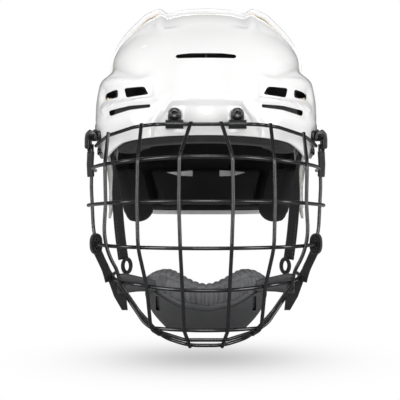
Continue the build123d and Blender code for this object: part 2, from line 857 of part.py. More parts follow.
for name, side in SIDES.items():
    near_x, far_x = sorted([side * rear_channel, side * (shell_half_width + overrun)])
    rear_pad = layer(rear_pad_outer, pad_inner, side_prism(rear_zone, near_x, far_x), sunk_form)
    finish(rear_pad, f"rear_pad_{name}")
    nape_pad = layer(rear_pad_outer, -nape_pad_depth, side_prism(nape_zone, near_x, far_x))
    finish(nape_pad, f"nape_pad_{name}")
    lobe_pad = layer(rear_pad_outer, -lobe_pad_depth, side_prism(lobe_zone, near_x, far_x))
    finish(lobe_pad, f"mastoid_pad_{name}")
rear_crown_pad = layer(rear_pad_outer, pad_inner, side_prism(rear_crown_zone), sunk_form)
finish(rear_crown_pad, "rear_crown_pad")

# Occipital pad: a pad on a carrier whose two pins slide in a guide at the nape
guide_half_width = 20.0
guide_low_z = -28.0
guide_high_z = -6.0
guide_depth = 9.0
guide_bore_x = 12.0
guide_bore_z = -17.0
guide_bore_radius = 2.6
guide_pin_radius = 2.5
carrier_gap = 0.5
carrier_thickness = 2.5
carrier_half_width = 48.0
carrier_low_z = -27.0
carrier_high_z = -7.0
carrier_pin_end_y = 115.5
occipital_half_top = 54.0
occipital_half_bottom = 46.0
occipital_top_z = 4.0
occipital_bottom_z = -32.0
occipital_thickness = 9.0
rear_limit_y = shell_back_reach + overrun

with BuildPart() as occipital_guide:
    guide_zone = block(
        (-guide_half_width, nape_pad_front_y, guide_low_z), (guide_half_width, rear_limit_y, guide_high_z)
    )
    add(layer(rear_pad_outer, -guide_depth, guide_zone))
    for side in SIDES.values():
        start = (side * guide_bore_x, 0, guide_bore_z)
        end = (side * guide_bore_x, rear_limit_y, guide_bore_z)
        add(rod(start, end, guide_bore_radius), mode=Mode.SUBTRACT)
finish(occipital_guide.part, "occipital_guide")


def guide_pins():
    """The carrier's two pins, which run in the guide."""
    with BuildPart() as pins:
        for side in SIDES.values():
            start = (side * guide_bore_x, nape_pad_front_y, guide_bore_z)
            end = (side * guide_bore_x, carrier_pin_end_y, guide_bore_z)
            add(rod(start, end, guide_pin_radius))
        add(head_form(carrier_inner), mode=Mode.SUBTRACT)
    return pins.part


carrier_outer = -guide_depth - carrier_gap
carrier_inner = carrier_outer - carrier_thickness
with BuildPart() as occipital_carrier:
    carrier_zone = block(
        (-carrier_half_width, nape_side_y, carrier_low_z), (carrier_half_width, rear_limit_y, carrier_high_z)
    )
    add(layer(carrier_outer, carrier_inner, carrier_zone))
    add(guide_pins())
finish(occipital_carrier.part, "occipital_carrier")

occipital_outline = [
    (-occipital_half_top, occipital_top_z),
    (occipital_half_top, occipital_top_z),
    (occipital_half_bottom, occipital_bottom_z),
    (-occipital_half_bottom, occipital_bottom_z),
]
occipital_outer = carrier_inner - soft_gap
occipital_pad = layer(
    occipital_outer,
    occipital_outer - occipital_thickness,
    front_prism(occipital_outline, nape_side_y, rear_limit_y),
)
finish(occipital_pad, "occipital_pad")


# Cage bars: each is a chain of tangent arcs through the places where the uprights are welded on
def bar_arcs(points):
    """Half of a bar, from its middle to the end, as arcs that run into each other."""
    arcs = []
    tangent = Vector(1, 0, 0)
    for start, end in zip(points[:-1], points[1:]):
        arc = TangentArc(start, end, tangent=tangent)
        tangent = arc % 1
        arcs.append(arc)
    return arcs


def weld_point(arc, share, stand_share):
    """Where the centre of an upright lies when it is welded outside a bar."""
    tangent = arc % share
    outward = Vector(tangent.Y, -tangent.X, 0).normalized()
    return arc @ share + outward * pitch * stand_share


def wire_along(line):
    """Round wire swept along a joined line."""
    with BuildPart() as wire:
        with BuildSketch(Plane(origin=line @ 0, z_dir=line % 0)):
            Circle(wire_diameter / 2)
        sweep(path=line)
    return wire.part


def mirrored_bar(points):
    """A whole bar, from one temple to the other."""
    with BuildLine() as path:
        bar_arcs(points)
        mirror(about=Plane.YZ)
    return wire_along(path.wires()[0])


def bent_wire(points, bend_radii):
    """A wire of straight runs joined by bends."""
    with BuildLine() as path:
        FilletPolyline(*points, radius=bend_radii)
    return wire_along(path.wires()[0])


# Places of the cage's wires, as shares of its half width, its reach and its drop
rim_stand = 1.5
cage_stand = 28.0
cage_half_width = shell_half_width + rim_stand
cage_reach = shell_front_reach + cage_stand
cage_drop = 151.5


def cage_point(width_share, reach_share, drop_share):
    """A place of the cage's wires."""
    return (width_share * cage_half_width, -reach_share * cage_reach, drop_share * cage_drop)


# The bars, left half: the middle, the inner corner, the outer corner and the end
bar_shares = {
    2: [
        (0, 0.9934, 0.0594),
        (0.5317, 0.9305, 0.0429),
        (0.7885, 0.7815, 0.0264),
        (0.9712, 0.1788, 0),
    ],
    3: [
        (0, 1.0, -0.1848),
        (0.5404, 0.9338, -0.1881),
        (0.7885, 0.7848, -0.1947),
        (1.0346, 0.1391, -0.2112),
    ],
    4: [
        (0, 0.9934, -0.4422),
        (0.5308, 0.9305, -0.4389),
        (0.7837, 0.7848, -0.4356),
        (0.924, 0.2053, -0.429),
    ],
    5: [
        (0, 0.947, -0.6759),
        (0.4615, 0.8841, -0.6568),
        (0.6731, 0.7517, -0.6403),
        (0.7846, 0.3311, -0.6099),
    ],
    6: [
        (0, 0.8344, -0.9043),
        (0.4471, 0.7748, -0.8944),
    ],
}
bar_places = {}
for number, shares in bar_shares.items():
    bar_places[number] = [cage_point(*share) for share in shares]
    finish(mirrored_bar(bar_places[number]), f"cage_bar_{number}")

# The top bar is straight between the clips and then follows the brow back to the temples
top_bar_straight = 42.0
top_bar_shares = [
    (0.5865, 0.7318, 0.2343),
    (0.8212, 0.5166, 0.1954),
    (0.9279, 0.3113, 0.1604),
    (0.9654, 0.1821, 0.1479),
]
top_bar_half = [(top_bar_straight, bar_y, bar_z)] + [cage_point(*share) for share in top_bar_shares]
hook_bend = 3.0
foot_bend = 10.0
neck_bend = 12.0
low_bend = 20.0
side_bend = 30.0
rim_bend = 40.0
brow_bend = 50.0
long_bend = 60.0
top_bar_radii = [long_bend, side_bend, brow_bend, low_bend]
top_bar_points = [(-x, y, z) for x, y, z in reversed(top_bar_half)] + top_bar_half
finish(bent_wire(top_bar_points, top_bar_radii + top_bar_radii[::-1]), "cage_top_bar")

# The rim runs from temple to temple under the chin
rim_shares = [
    (1.0, 0.1788, 0.1584),
    (1.0077, 0.1722, -0.099),
    (0.9865, 0.1788, -0.396),
    (0.8462, 0.2914, -0.5941),
    (0.6731, 0.4437, -0.7459),
    (0.5192, 0.5695, -0.8845),
    (0.3269, 0.6623, -0.9637),
    (0.1442, 0.7086, -1.0),
]
rim_half = [cage_point(*share) for share in rim_shares]
rim_radii = [long_bend, rim_bend, rim_bend, rim_bend, side_bend, side_bend, rim_bend]
rim_points = rim_half + [(-x, y, z) for x, y, z in reversed(rim_half)]
finish(bent_wire(rim_points, rim_radii + rim_radii[::-1]), "cage_rim_wire")


# Uprights: hooked over the top bar and welded outside the bars
def hook_points(place, along, height):
    """The end of an upright that is bent over the top bar, and the corner before it."""
    direction = Vector(*along)
    outward = Vector(direction.Y, -direction.X, 0).normalized()
    over = Vector(*place) + Vector(0, 0, height)
    return [over - outward * (pitch - height), over + outward * pitch]


half_arcs = {}
for number, places in bar_places.items():
    with BuildLine(mode=Mode.PRIVATE):
        half_arcs[number] = bar_arcs(places)


def between(first, second, share):
    """A point part of the way from one point to another."""
    return Vector(*first) + (Vector(*second) - Vector(*first)) * share


inner_top_x = 12.0
# For each bar: how far along it an upright is welded, and how many pitches it stands off there,
# which is more where the upright bends or leans
inner_weld_shares = {2: (0.38, 1.29), 3: (0.385, 1.0), 4: (0.37, 1.08), 5: (0.385, 1.16), 6: (0.37, 1.6)}
middle_weld_shares = {2: (1, 1.25), 3: (1, 1.0), 4: (1, 1.16), 5: (1, 1.12), 6: (0.93, 2.6)}
chin_weld_shares = {2: (1, 1.23), 3: (1, 1.0), 4: (1, 1.85), 5: (1, 1.25)}
inner_foot_shares = (0.1317, 0.7258, -1.0059)
inner_radii = [hook_bend, foot_bend, long_bend, long_bend, low_bend, foot_bend]
middle_hook_share = 0.55
middle_foot_shares = (0.3817, 0.7497, -0.934)
middle_radii = [hook_bend, neck_bend, long_bend, long_bend, low_bend, neck_bend]
chin_hook_share = 0.87
chin_knee_shares = (0.7173, 0.7781, -0.5809)
chin_side_shares = (0.5529, 0.7152, -0.8053)
chin_corner_shares = (0.4038, 0.7285, -0.9175)
chin_bottom_shares = (0.1731, 0.7397, -0.9663)

inner_points = hook_points((inner_top_x, bar_y, bar_z), (1, 0, 0), pitch)
for number, (share, stand) in inner_weld_shares.items():
    inner_points.append(weld_point(half_arcs[number][0], share, stand))
inner_points.append(Vector(*cage_point(*inner_foot_shares)))
middle_place = between(top_bar_half[0], top_bar_half[1], middle_hook_share)
middle_along = Vector(*top_bar_half[1]) - Vector(*top_bar_half[0])
middle_points = hook_points(middle_place, middle_along, pitch)
for number, (share, stand) in middle_weld_shares.items():
    middle_points.append(weld_point(half_arcs[number][0], share, stand))
middle_points.append(Vector(*cage_point(*middle_foot_shares)))
for name, side in SIDES.items():
    for kind, points, bends in (
        ("inner", inner_points, inner_radii),
        ("middle", middle_points, middle_radii),
    ):
        route = [(side * point.X, point.Y, point.Z) for point in points]
        finish(bent_wire(route, bends), f"upright_{kind}_{name}")

chin_place = between(top_bar_half[1], top_bar_half[2], chin_hook_share)
chin_along = Vector(*top_bar_half[2]) - Vector(*top_bar_half[1])
chin_points = hook_points(chin_place, chin_along, pitch)
for number, (share, stand) in chin_weld_shares.items():
    if number == 5:
        chin_points.append(Vector(*cage_point(*chin_knee_shares)))
    chin_points.append(weld_point(half_arcs[number][1], share, stand))
for shares in (chin_side_shares, chin_corner_shares, chin_bottom_shares):
    chin_points.append(Vector(*cage_point(*shares)))
chin_radii = [hook_bend, neck_bend, long_bend, long_bend, side_bend, low_bend, side_bend, low_bend, low_bend]
chin_route = [(point.X, point.Y, point.Z) for point in chin_points]
chin_route += [(-x, y, z) for x, y, z in reversed(chin_route)]
finish(bent_wire(chin_route, chin_radii + chin_radii[::-1]), "cage_chin_loop")

# Chin cup: a padded liner in a moulded crescent shell
cup_half_width = 54.5
cup_reach = 36.0
cup_y = -60.0
cup_top_z = -82.0
cup_depth = 58.0
cup_height_shares = [0.0, 0.26, 0.52, 0.76, 1.0]
cup_width_shares = [0.95, 1.0, 0.99, 0.88, 0.66]
cup_reach_shares = [0.92, 1.0, 1.0, 0.88, 0.64]
cup_shell_wall = 2.2
cup_pad_thickness = 9.5
cup_back_y = -61.0


def cup_form(growth):
    """The solid inside the chin cup's form, grown or shrunk evenly."""
    with BuildPart() as form:
        for height, width, reach in zip(cup_height_shares, cup_width_shares, cup_reach_shares):
            with BuildSketch(Plane.XY.offset(cup_top_z - height * (cup_depth + growth))):
                with BuildLine():
                    front = reach * cup_reach + growth
                    egg_outline(width * cup_half_width + growth, front, front, cup_y)
                make_face()
        loft()
    return form.part


cup_lobe_x = 38.0
cup_lobe_top_z = -85.5
cup_dip_z = -99.0
cup_lobe_in_x = 24.0
cup_lobe_out_x = 48.0
cup_shoulder_z = -90.0
cup_side_z = -96.0
cup_pad_edge_x = 54.0
pad_outline = [
    (0, cup_dip_z),
    (cup_lobe_in_x, cup_shoulder_z),
    (cup_lobe_x, cup_lobe_top_z),
    (cup_lobe_out_x, cup_shoulder_z),
    (cup_pad_edge_x, cup_side_z),
    (cup_pad_edge_x, cup_top_z - cup_depth),
]
pad_outline += [(-x, z) for x, z in reversed(pad_outline[1:])]
crescent_dip_z = -123.8
crescent_mid_x = 25.0
crescent_mid_z = -119.5
crescent_side_x = 40.0
crescent_side_z = -111.0
crescent_tip_z = -102.0
crescent_outline = [
    (0, crescent_dip_z),
    (crescent_mid_x, crescent_mid_z),
    (crescent_side_x, crescent_side_z),
    (cup_pad_edge_x, crescent_tip_z),
    (cup_pad_edge_x, cup_top_z - cup_depth - overrun),
]
crescent_outline += [(-x, z) for x, z in reversed(crescent_outline[1:])]
cup_slot_inner_x = 40.5
cup_slot_outer_x = 44.0
cup_slot_top_z = -111.0
cup_slot_bottom_z = -124.0

with BuildPart() as chin_cup_pad:
    add(cup_form(-cup_shell_wall - soft_gap))
    add(cup_form(-cup_shell_wall - soft_gap - cup_pad_thickness), mode=Mode.SUBTRACT)
    add(front_prism(pad_outline, cup_y - cup_reach - overrun, cup_back_y), mode=Mode.INTERSECT)
finish(chin_cup_pad.part, "chin_cup_pad")

with BuildPart() as chin_cup_shell:
    add(cup_form(0))
    add(cup_form(-cup_shell_wall), mode=Mode.SUBTRACT)
    add(front_prism(crescent_outline, cup_y - cup_reach - overrun, cup_back_y), mode=Mode.INTERSECT)
    for side in SIDES.values():
        near_x, far_x = sorted([side * cup_slot_inner_x, side * cup_slot_outer_x])
        add(
            block(
                (near_x, cup_y - cup_reach - overrun, cup_slot_bottom_z),
                (far_x, cup_y - wire_diameter, cup_slot_top_z),
            ),
            mode=Mode.SUBTRACT,
        )
finish(chin_cup_shell.part, "chin_cup_shell")

# Wings and brackets: webbing from the cup to a plastic bracket at each side
wing_tip_share = 0.75
wing_reach = cage_half_width * wing_tip_share
wing_drop = 110.0
# Places in x and z, as shares of the reach and the drop
wing_shares = [(0.5641, -0.8227), (1.0, -0.8955), (1.0, -1.0), (0.5641, -0.9727)]
wing_outline = [(x * wing_reach, z * wing_drop) for x, z in wing_shares]
wing_front_y = -76.0
wing_thickness = 2.2
bracket_overhang = 8.2
bracket_reach = wing_reach + bracket_overhang
bracket_drop = 124.0
bracket_shares = [
    (0.8527, -0.7863),
    (1.0, -0.7863),
    (0.9397, -0.9032),
    (0.8585, -1.0),
    (0.8005, -1.0),
    (0.8179, -0.8871),
]
bracket_outline = [(x * bracket_reach, z * bracket_drop) for x, z in bracket_shares]
bracket_thickness = 2.8
bracket_front_y = wing_front_y + wing_thickness + soft_gap
bracket_back_y = bracket_front_y + bracket_thickness
snap_set = 4.0
snap_x = wing_reach - snap_set
snap_z = -104.0
snap_radius = 3.4
snap_height = 1.2
for name, side in SIDES.items():
    hole_start = (side * snap_x, wing_front_y - overrun, snap_z)
    hole_end = (side * snap_x, wing_front_y + overrun, snap_z)
    with BuildPart() as cup_wing:
        add(front_prism(flipped(wing_outline, side), wing_front_y, wing_front_y + wing_thickness))
        add(cup_form(soft_gap), mode=Mode.SUBTRACT)
        add(rod(hole_start, hole_end, stud_shank_radius + screw_clear), mode=Mode.SUBTRACT)
    finish(cup_wing.part, f"cup_wing_{name}")
    with BuildPart() as cup_bracket:
        add(front_prism(flipped(bracket_outline, side), bracket_front_y, bracket_back_y))
        add(rod(hole_start, hole_end, stud_shank_radius + screw_clear), mode=Mode.SUBTRACT)
    finish(cup_bracket.part, f"cup_bracket_{name}")

with BuildPart() as cup_snaps:
    for side in SIDES.values():
        cap_back = wing_front_y - screw_clear
        cap_front = cap_back - snap_height
        add(rod((side * snap_x, cap_front, snap_z), (side * snap_x, cap_back, snap_z), snap_radius))
        post_end = bracket_back_y + screw_clear
        add(rod((side * snap_x, cap_back, snap_z), (side * snap_x, post_end, snap_z), stud_shank_radius))
        foot_end = post_end + snap_height
        add(rod((side * snap_x, post_end, snap_z), (side * snap_x, foot_end, snap_z), snap_radius))
finish(cup_snaps.part, "cup_snaps")

# Side keepers: webbing wrapped round the fourth bar, and the straps from them to the brackets
keeper_share = 0.5
keeper_length = 13.0
keeper_width = 8.0
keeper_height = 17.0
keeper_round = 2.0
keeper_clear = 0.4
keeper_arc = half_arcs[4][2]
keeper_place = keeper_arc @ keeper_share
keeper_direction = keeper_arc % keeper_share
# Places in x and z, as shares of the cage's half width and its drop
strap_bend_shares = [(0.8654, -0.5479), (0.8269, -0.6007)]
strap_end_set = 1.0
strap_end_x = bracket_reach - strap_end_set
strap_end_z = bracket_outline[0][1] + soft_gap + strap_thickness / 2
for name, side in SIDES.items():
    place = Vector(side * keeper_place.X, keeper_place.Y, keeper_place.Z)
    direction = Vector(side * keeper_direction.X, keeper_direction.Y, keeper_direction.Z)
    with BuildPart() as side_keeper:
        across = direction.cross(Vector(0, 0, 1)).normalized()
        with BuildSketch(Plane(origin=place, x_dir=across, z_dir=direction)):
            RectangleRounded(keeper_width, keeper_height, keeper_round)
            Circle(wire_diameter / 2 + keeper_clear, mode=Mode.SUBTRACT)
        extrude(amount=keeper_length / 2, both=True)
    finish(side_keeper.part, f"side_keeper_{name}")
    strap_start = (keeper_place.X, keeper_place.Z - keeper_height / 2 - soft_gap - strap_thickness / 2)
    strap_points = [strap_start]
    strap_points += [(x * cage_half_width, z * cage_drop) for x, z in strap_bend_shares]
    strap_points.append((strap_end_x, strap_end_z))
    middle_y = keeper_place.Y
    near_y = middle_y - keeper_length / 2
    far_y = middle_y + keeper_length / 2
    finish(ribbon(flipped(strap_points, side), strap_thickness, near_y, far_y), f"cup_strap_{name}")
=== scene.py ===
import math

import bmesh
import bpy
import numpy as np
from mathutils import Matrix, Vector


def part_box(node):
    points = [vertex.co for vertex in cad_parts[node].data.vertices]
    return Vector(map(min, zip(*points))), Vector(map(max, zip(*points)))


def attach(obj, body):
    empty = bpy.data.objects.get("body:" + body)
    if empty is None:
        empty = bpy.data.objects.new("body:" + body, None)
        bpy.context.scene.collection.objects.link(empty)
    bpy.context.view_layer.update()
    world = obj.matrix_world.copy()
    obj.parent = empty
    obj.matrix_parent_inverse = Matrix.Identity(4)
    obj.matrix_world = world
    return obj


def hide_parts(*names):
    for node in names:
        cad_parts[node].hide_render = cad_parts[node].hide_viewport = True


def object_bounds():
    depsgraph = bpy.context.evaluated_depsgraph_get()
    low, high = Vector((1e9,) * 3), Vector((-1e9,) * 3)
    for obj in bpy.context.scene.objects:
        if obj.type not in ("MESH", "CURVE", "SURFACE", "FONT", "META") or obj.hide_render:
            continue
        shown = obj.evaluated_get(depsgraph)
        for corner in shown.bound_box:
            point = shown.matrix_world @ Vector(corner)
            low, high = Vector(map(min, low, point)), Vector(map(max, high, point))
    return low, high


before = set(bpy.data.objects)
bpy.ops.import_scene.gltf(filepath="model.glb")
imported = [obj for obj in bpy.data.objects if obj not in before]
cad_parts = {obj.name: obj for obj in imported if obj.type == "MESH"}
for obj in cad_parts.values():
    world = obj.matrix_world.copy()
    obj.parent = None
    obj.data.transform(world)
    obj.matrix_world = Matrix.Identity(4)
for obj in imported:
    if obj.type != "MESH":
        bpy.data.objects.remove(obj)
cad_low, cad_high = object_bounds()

# ---- Studio
# The camera stands 1.3 m in front of the helmet, level with the upper part of the cage.
# The floor is a pale sheet that shows only a painted soft shadow of the helmet, and the lamps are large soft boxes.
camera_distance = 1.3
camera_height = -0.027
camera_data = bpy.data.cameras.new("studio_camera")
camera_data.lens = 125.4
camera_data.sensor_width = 36.0
camera_data.shift_x = -0.015
camera = bpy.data.objects.new("studio_camera", camera_data)
camera.location = (0.0, -camera_distance, camera_height)
camera.rotation_euler = (math.radians(90.0), 0.0, 0.0)
bpy.context.scene.collection.objects.link(camera)
bpy.context.scene.camera = camera

floor_height = cad_low[2] - 0.001
floor_half = 6.0
floor_corners = [(x * floor_half, y * floor_half, floor_height) for x, y in ((-1, -1), (1, -1), (1, 1), (-1, 1))]
floor_mesh = bpy.data.meshes.new("studio_floor")
floor_mesh.from_pydata(floor_corners, [], [(0, 1, 2, 3)])
studio_floor = bpy.data.objects.new("studio_floor", floor_mesh)
bpy.context.scene.collection.objects.link(studio_floor)


def build_tree(tree, nodes, links):
    """Nodes by name, each a kind with settings and input values, joined by links that read from > to."""
    tree.nodes.clear()
    made = {}
    for label, entry in nodes.items():
        kind, settings, values = (*entry, {}, {})[:3]
        made[label] = tree.nodes.new(kind)
        for setting, value in settings.items():
            setattr(made[label], setting, value)
        for socket, value in values.items():
            made[label].inputs[socket].default_value = value
    for link in links:
        (start, output), (end, socket) = (place.split(".") for place in link.split(" > "))
        tree.links.new(made[start].outputs[output], made[end].inputs[int(socket) if socket.isdigit() else socket])


# The camera sees the paper white but for a painted soft oval shadow; glossy surfaces see it dark grey, and everything
# else is lit by it as pale paper
shadow_middle = (0.0, -0.173, 0.0)
shadow_narrowness = (12.6, 10.0, 0.0)
shadow_depth = 0.44
floor_paper = bpy.data.materials.new("floor_paper")
floor_paper.use_nodes = True
build_tree(
    floor_paper.node_tree,
    {
        "surface": ("ShaderNodeOutputMaterial",),
        "seen": ("ShaderNodeLightPath",),
        "place": ("ShaderNodeTexCoord",),
        "away": ("ShaderNodeVectorMath", {"operation": "SUBTRACT"}, {1: shadow_middle}),
        "spread": ("ShaderNodeVectorMath", {"operation": "MULTIPLY"}, {1: shadow_narrowness}),
        "square": ("ShaderNodeVectorMath", {"operation": "DOT_PRODUCT"}),
        "fall": ("ShaderNodeMath", {"operation": "POWER"}, {0: 0.3679}),
        "light": ("ShaderNodeMath", {"operation": "MULTIPLY_ADD"}, {1: -shadow_depth, 2: 1.0}),
        "near": ("ShaderNodeEmission",),
        "tones": (
            "ShaderNodeMix",
            {"data_type": "RGBA"},
            {"A": (0.93, 0.93, 0.93, 1.0), "B": (0.22, 0.22, 0.22, 1.0)},
        ),
        "plain": ("ShaderNodeBsdfDiffuse",),
        "direct": ("ShaderNodeMath", {"operation": "MAXIMUM"}),
        "mix": ("ShaderNodeMixShader",),
    },
    [
        "place.Object > away.0", "away.Vector > spread.0", "spread.Vector > square.0", "spread.Vector > square.1",
        "square.Value > fall.1", "fall.Value > light.0", "light.Value > near.Strength",
        "seen.Is Glossy Ray > tones.Factor", "tones.Result > plain.Color",
        "seen.Is Camera Ray > direct.0", "seen.Is Transmission Ray > direct.1", "direct.Value > mix.Fac",
        "plain.BSDF > mix.1", "near.Emission > mix.2", "mix.Shader > surface.Surface",
    ],
)
floor_mesh.materials.append(floor_paper)

studio_world = bpy.data.worlds.new("studio_world")
bpy.context.scene.world = studio_world
studio_world.use_nodes = True
build_tree(
    studio_world.node_tree,
    {
        "surface": ("ShaderNodeOutputWorld",),
        "seen": ("ShaderNodeLightPath",),
        "white": ("ShaderNodeBackground", {}, {"Color": (1.0, 1.0, 1.0, 1.0), "Strength": 1.0}),
        "soft": ("ShaderNodeBackground", {}, {"Color": (1.0, 1.0, 1.0, 1.0)}),
        "dim": ("ShaderNodeMath", {"operation": "MULTIPLY_ADD"}, {1: -0.84, 2: 0.9}),
        "direct": ("ShaderNodeMath", {"operation": "MAXIMUM"}),
        "mix": ("ShaderNodeMixShader",),
    },
    [
        "seen.Is Glossy Ray > dim.0", "dim.Value > soft.Strength",
        "seen.Is Camera Ray > direct.0", "seen.Is Transmission Ray > direct.1", "direct.Value > mix.Fac",
        "soft.Background > mix.1", "white.Background > mix.2", "mix.Shader > surface.Surface",
    ],
)

# Place, width, height and power of each lamp. The gleams show only in glossy surfaces and light nothing.
softboxes = {
    "key_softbox": ((-0.2, -1.0, 1.3), 1.0, 1.0, 3.0),
    "left_strip": ((-1.25, -0.45, 0.2), 0.4, 1.2, 6.0),
    "right_strip": ((1.25, -0.45, 0.2), 0.4, 1.2, 7.5),
    "rear_softbox": ((0.0, 1.2, 1.0), 1.2, 1.2, 2.0),
    "front_gleam": ((0.0, -1.5, 0.5), 0.4, 0.4, 5.5),
    "left_gleam": ((-0.75, -1.3, 0.1), 0.3, 1.3, 9.0),
    "right_gleam": ((0.75, -1.3, 0.1), 0.3, 1.3, 9.0),
}
lamp_target = Vector((0.0, 0.0, 0.02))
for lamp_name, (place, width, height, power) in softboxes.items():
    lamp_data = bpy.data.lights.new(lamp_name, "AREA")
    lamp_data.shape = "RECTANGLE"
    lamp_data.size = width
    lamp_data.size_y = height
    lamp_data.energy = power
    lamp = bpy.data.objects.new(lamp_name, lamp_data)
    lamp.location = place
    lamp.visible_diffuse = "gleam" not in lamp_name
    aim = lamp_target - Vector(place)
    lamp.rotation_euler = aim.to_track_quat("-Z", "Y").to_euler()
    bpy.context.scene.collection.objects.link(lamp)
bpy.context.scene.view_settings.view_transform = "Standard"

# ---- Front and rear shells
# Two injection-moulded shells of glossy white plastic. The rear one lies over the tail of the front one
# and slides on it; both have a crown channel and a stepped band that are moulded in, and the front one vents.
mm = 0.001
wall = 3.0
wall_gap = 0.6
crown_top = 147.5
middle_line = 5.0
# Height, half width, front reach and back reach of the shell's outer face, read at level cuts
form_cuts = np.array([
    (-61.95, 86.1, 100.8, 101.8), (-55.0, 91.4, 104.7, 101.9), (-48.0, 93.8, 106.9, 104.3),
    (-40.0, 94.5, 108.0, 108.5), (-31.0, 94.2, 108.7, 113.4), (-22.0, 94.3, 109.4, 117.6),
    (-12.0, 95.2, 110.7, 120.9), (0.0, 97.2, 112.8, 123.3), (14.0, 99.8, 115.4, 124.7),
    (28.0, 101.9, 117.4, 125.6), (42.0, 102.8, 118.1, 126.3), (55.0, 102.7, 117.3, 126.2),
    (66.0, 101.8, 115.5, 125.2), (76.0, 99.4, 112.7, 123.2), (85.0, 95.1, 108.9, 120.2),
    (93.0, 91.0, 104.0, 116.8), (100.0, 87.9, 98.8, 113.3), (107.0, 84.9, 92.7, 109.1),
    (115.0, 81.2, 84.7, 103.2), (123.0, 76.2, 75.3, 95.7), (131.0, 69.2, 63.0, 86.3),
    (138.0, 61.8, 47.3, 76.2), (143.5, 55.8, 28.2, 66.2), (147.5, 48.2, 7.5, 53.4),
])
growth_heights = np.array([-0.42, 0.40, 0.52, 0.62, 0.72, 0.87, 0.96, 1.0]) * crown_top
growth_rise = [0.0, 0.0, 0.15, 0.3, 0.5, 0.75, 0.95, 1.0]
growth_spread = [1.0, 1.0, 1.0, 0.95, 0.87, 0.66, 0.5, 0.4]
middle_heights = np.array([-0.42, 0.72, 0.87, 0.96, 1.0]) * crown_top
middle_shift = [0.0, 0.0, 1.2, 7.3, 12.1]


def spline_through(knots, values, places):
    """A natural cubic spline through values at knots, read at places."""
    count = len(knots)
    gaps = np.diff(knots)
    slopes = np.diff(values, axis=0) / gaps[:, None]
    system = np.eye(count)
    right = np.zeros((count, values.shape[1]))
    for row in range(1, count - 1):
        system[row, row - 1 : row + 2] = gaps[row - 1], 2 * (gaps[row - 1] + gaps[row]), gaps[row]
        right[row] = 6 * (slopes[row] - slopes[row - 1])
    bends = np.linalg.solve(system, right)
    spans = np.clip(np.searchsorted(knots, places) - 1, 0, count - 2)
    ahead = (knots[spans + 1] - places)[..., None]
    behind = (places - knots[spans])[..., None]
    gap = gaps[spans][..., None]
    return (
        bends[spans] * ahead**3 / (6 * gap)
        + bends[spans + 1] * behind**3 / (6 * gap)
        + (values[spans] / gap - bends[spans] * gap / 6) * ahead
        + (values[spans + 1] / gap - bends[spans + 1] * gap / 6) * behind
    )


cut_steps = np.diff(form_cuts, axis=0)
cut_walk = np.concatenate([[0.0], np.cumsum(np.sqrt((cut_steps[:, :3] ** 2).sum(1)))])
cut_walk = cut_walk[-1] - cut_walk[::-1]
cap_share = 0.16
cap_dome = 1.0


def form_points(turn, down, growth):
    """Points of the shell form. Turn is the angle round the crown, down runs from 0 at the pole to 1 at the hem."""
    turn, down = np.broadcast_arrays(turn, down)
    level = np.clip((down - cap_share) / (1 - cap_share), 0, 1)
    cuts = spline_through(cut_walk, form_cuts[::-1], level * cut_walk[-1])
    height, half, front, back = (cuts[..., i] for i in range(4))
    rise = np.interp(height, growth_heights, growth_rise) * growth
    spread = np.interp(height, growth_heights, growth_spread) * growth
    middle = middle_line + np.interp(height, middle_heights, middle_shift)
    shrink = np.clip(down / cap_share, 0, 1)
    side, ahead = np.cos(turn), np.sin(turn)
    reach = np.where(ahead < 0, front + middle, back - middle) + spread
    x = side * (half + spread) * shrink
    y = middle + ahead * reach * shrink
    z = height + rise + cap_dome * (1 - shrink**2)
    return np.stack([x, y, z], -1)


def soft_step(value, low, high):
    """0 below low, 1 above high, and smooth between them."""
    share = np.clip((value - low) / (high - low), 0, 1)
    return share * share * (3 - 2 * share)


def hill(distance, width):
    """A smooth hill of height 1 at distance 0."""
    return np.exp(-((distance / width) ** 2))


def line_distance(x, z, line):
    """Distance in the front view from a run of straight lines."""
    nearest = np.full(x.shape, 1e9)
    for (x0, z0), (x1, z1) in zip(line[:-1], line[1:]):
        length = (x1 - x0) ** 2 + (z1 - z0) ** 2
        share = np.clip(((x - x0) * (x1 - x0) + (z - z0) * (z1 - z0)) / length, 0, 1)
        nearest = np.minimum(nearest, np.hypot(x - x0 - share * (x1 - x0), z - z0 - share * (z1 - z0)))
    return nearest


def crown_relief(points):
    """The crown's channel between two ribs, and the groove above the band, on both shells."""
    x, y, z = np.abs(points[..., 0]), points[..., 1], points[..., 2]
    high = soft_step(z, 125, 133) * (1 - soft_step(y, 70, 84))
    dip = np.where(x < 36, hill(x - 36, 11), hill(x - 36, 3.6))
    relief = high * (-3.3 * dip + 1.5 * hill(x - 43.5, 4.2) + 0.8 * hill(x, 16))
    groove_height = 84 + 9.5 * soft_step(x, 58, 86)
    side = soft_step(x, 40, 62)
    relief += side * -3.6 * hill(z - groove_height, 6.5)
    relief += side * 1.1 * hill(z - groove_height + 12.5, 4.5)
    return relief


# Height, width and run in the front view of each ridge and groove beside the vents
vent_ridges = [
    (0.8, 2.4, [(92, 78.5), (70, 80.0), (50, 79.5)]),
    (2.1, 2.3, [(92, 54.5), (66, 58.2), (44, 60.6)]),
    (-1.4, 3.2, [(88, 48.5), (68, 52.5), (47, 54.5)]),
]
seam_rise = (104, 130)


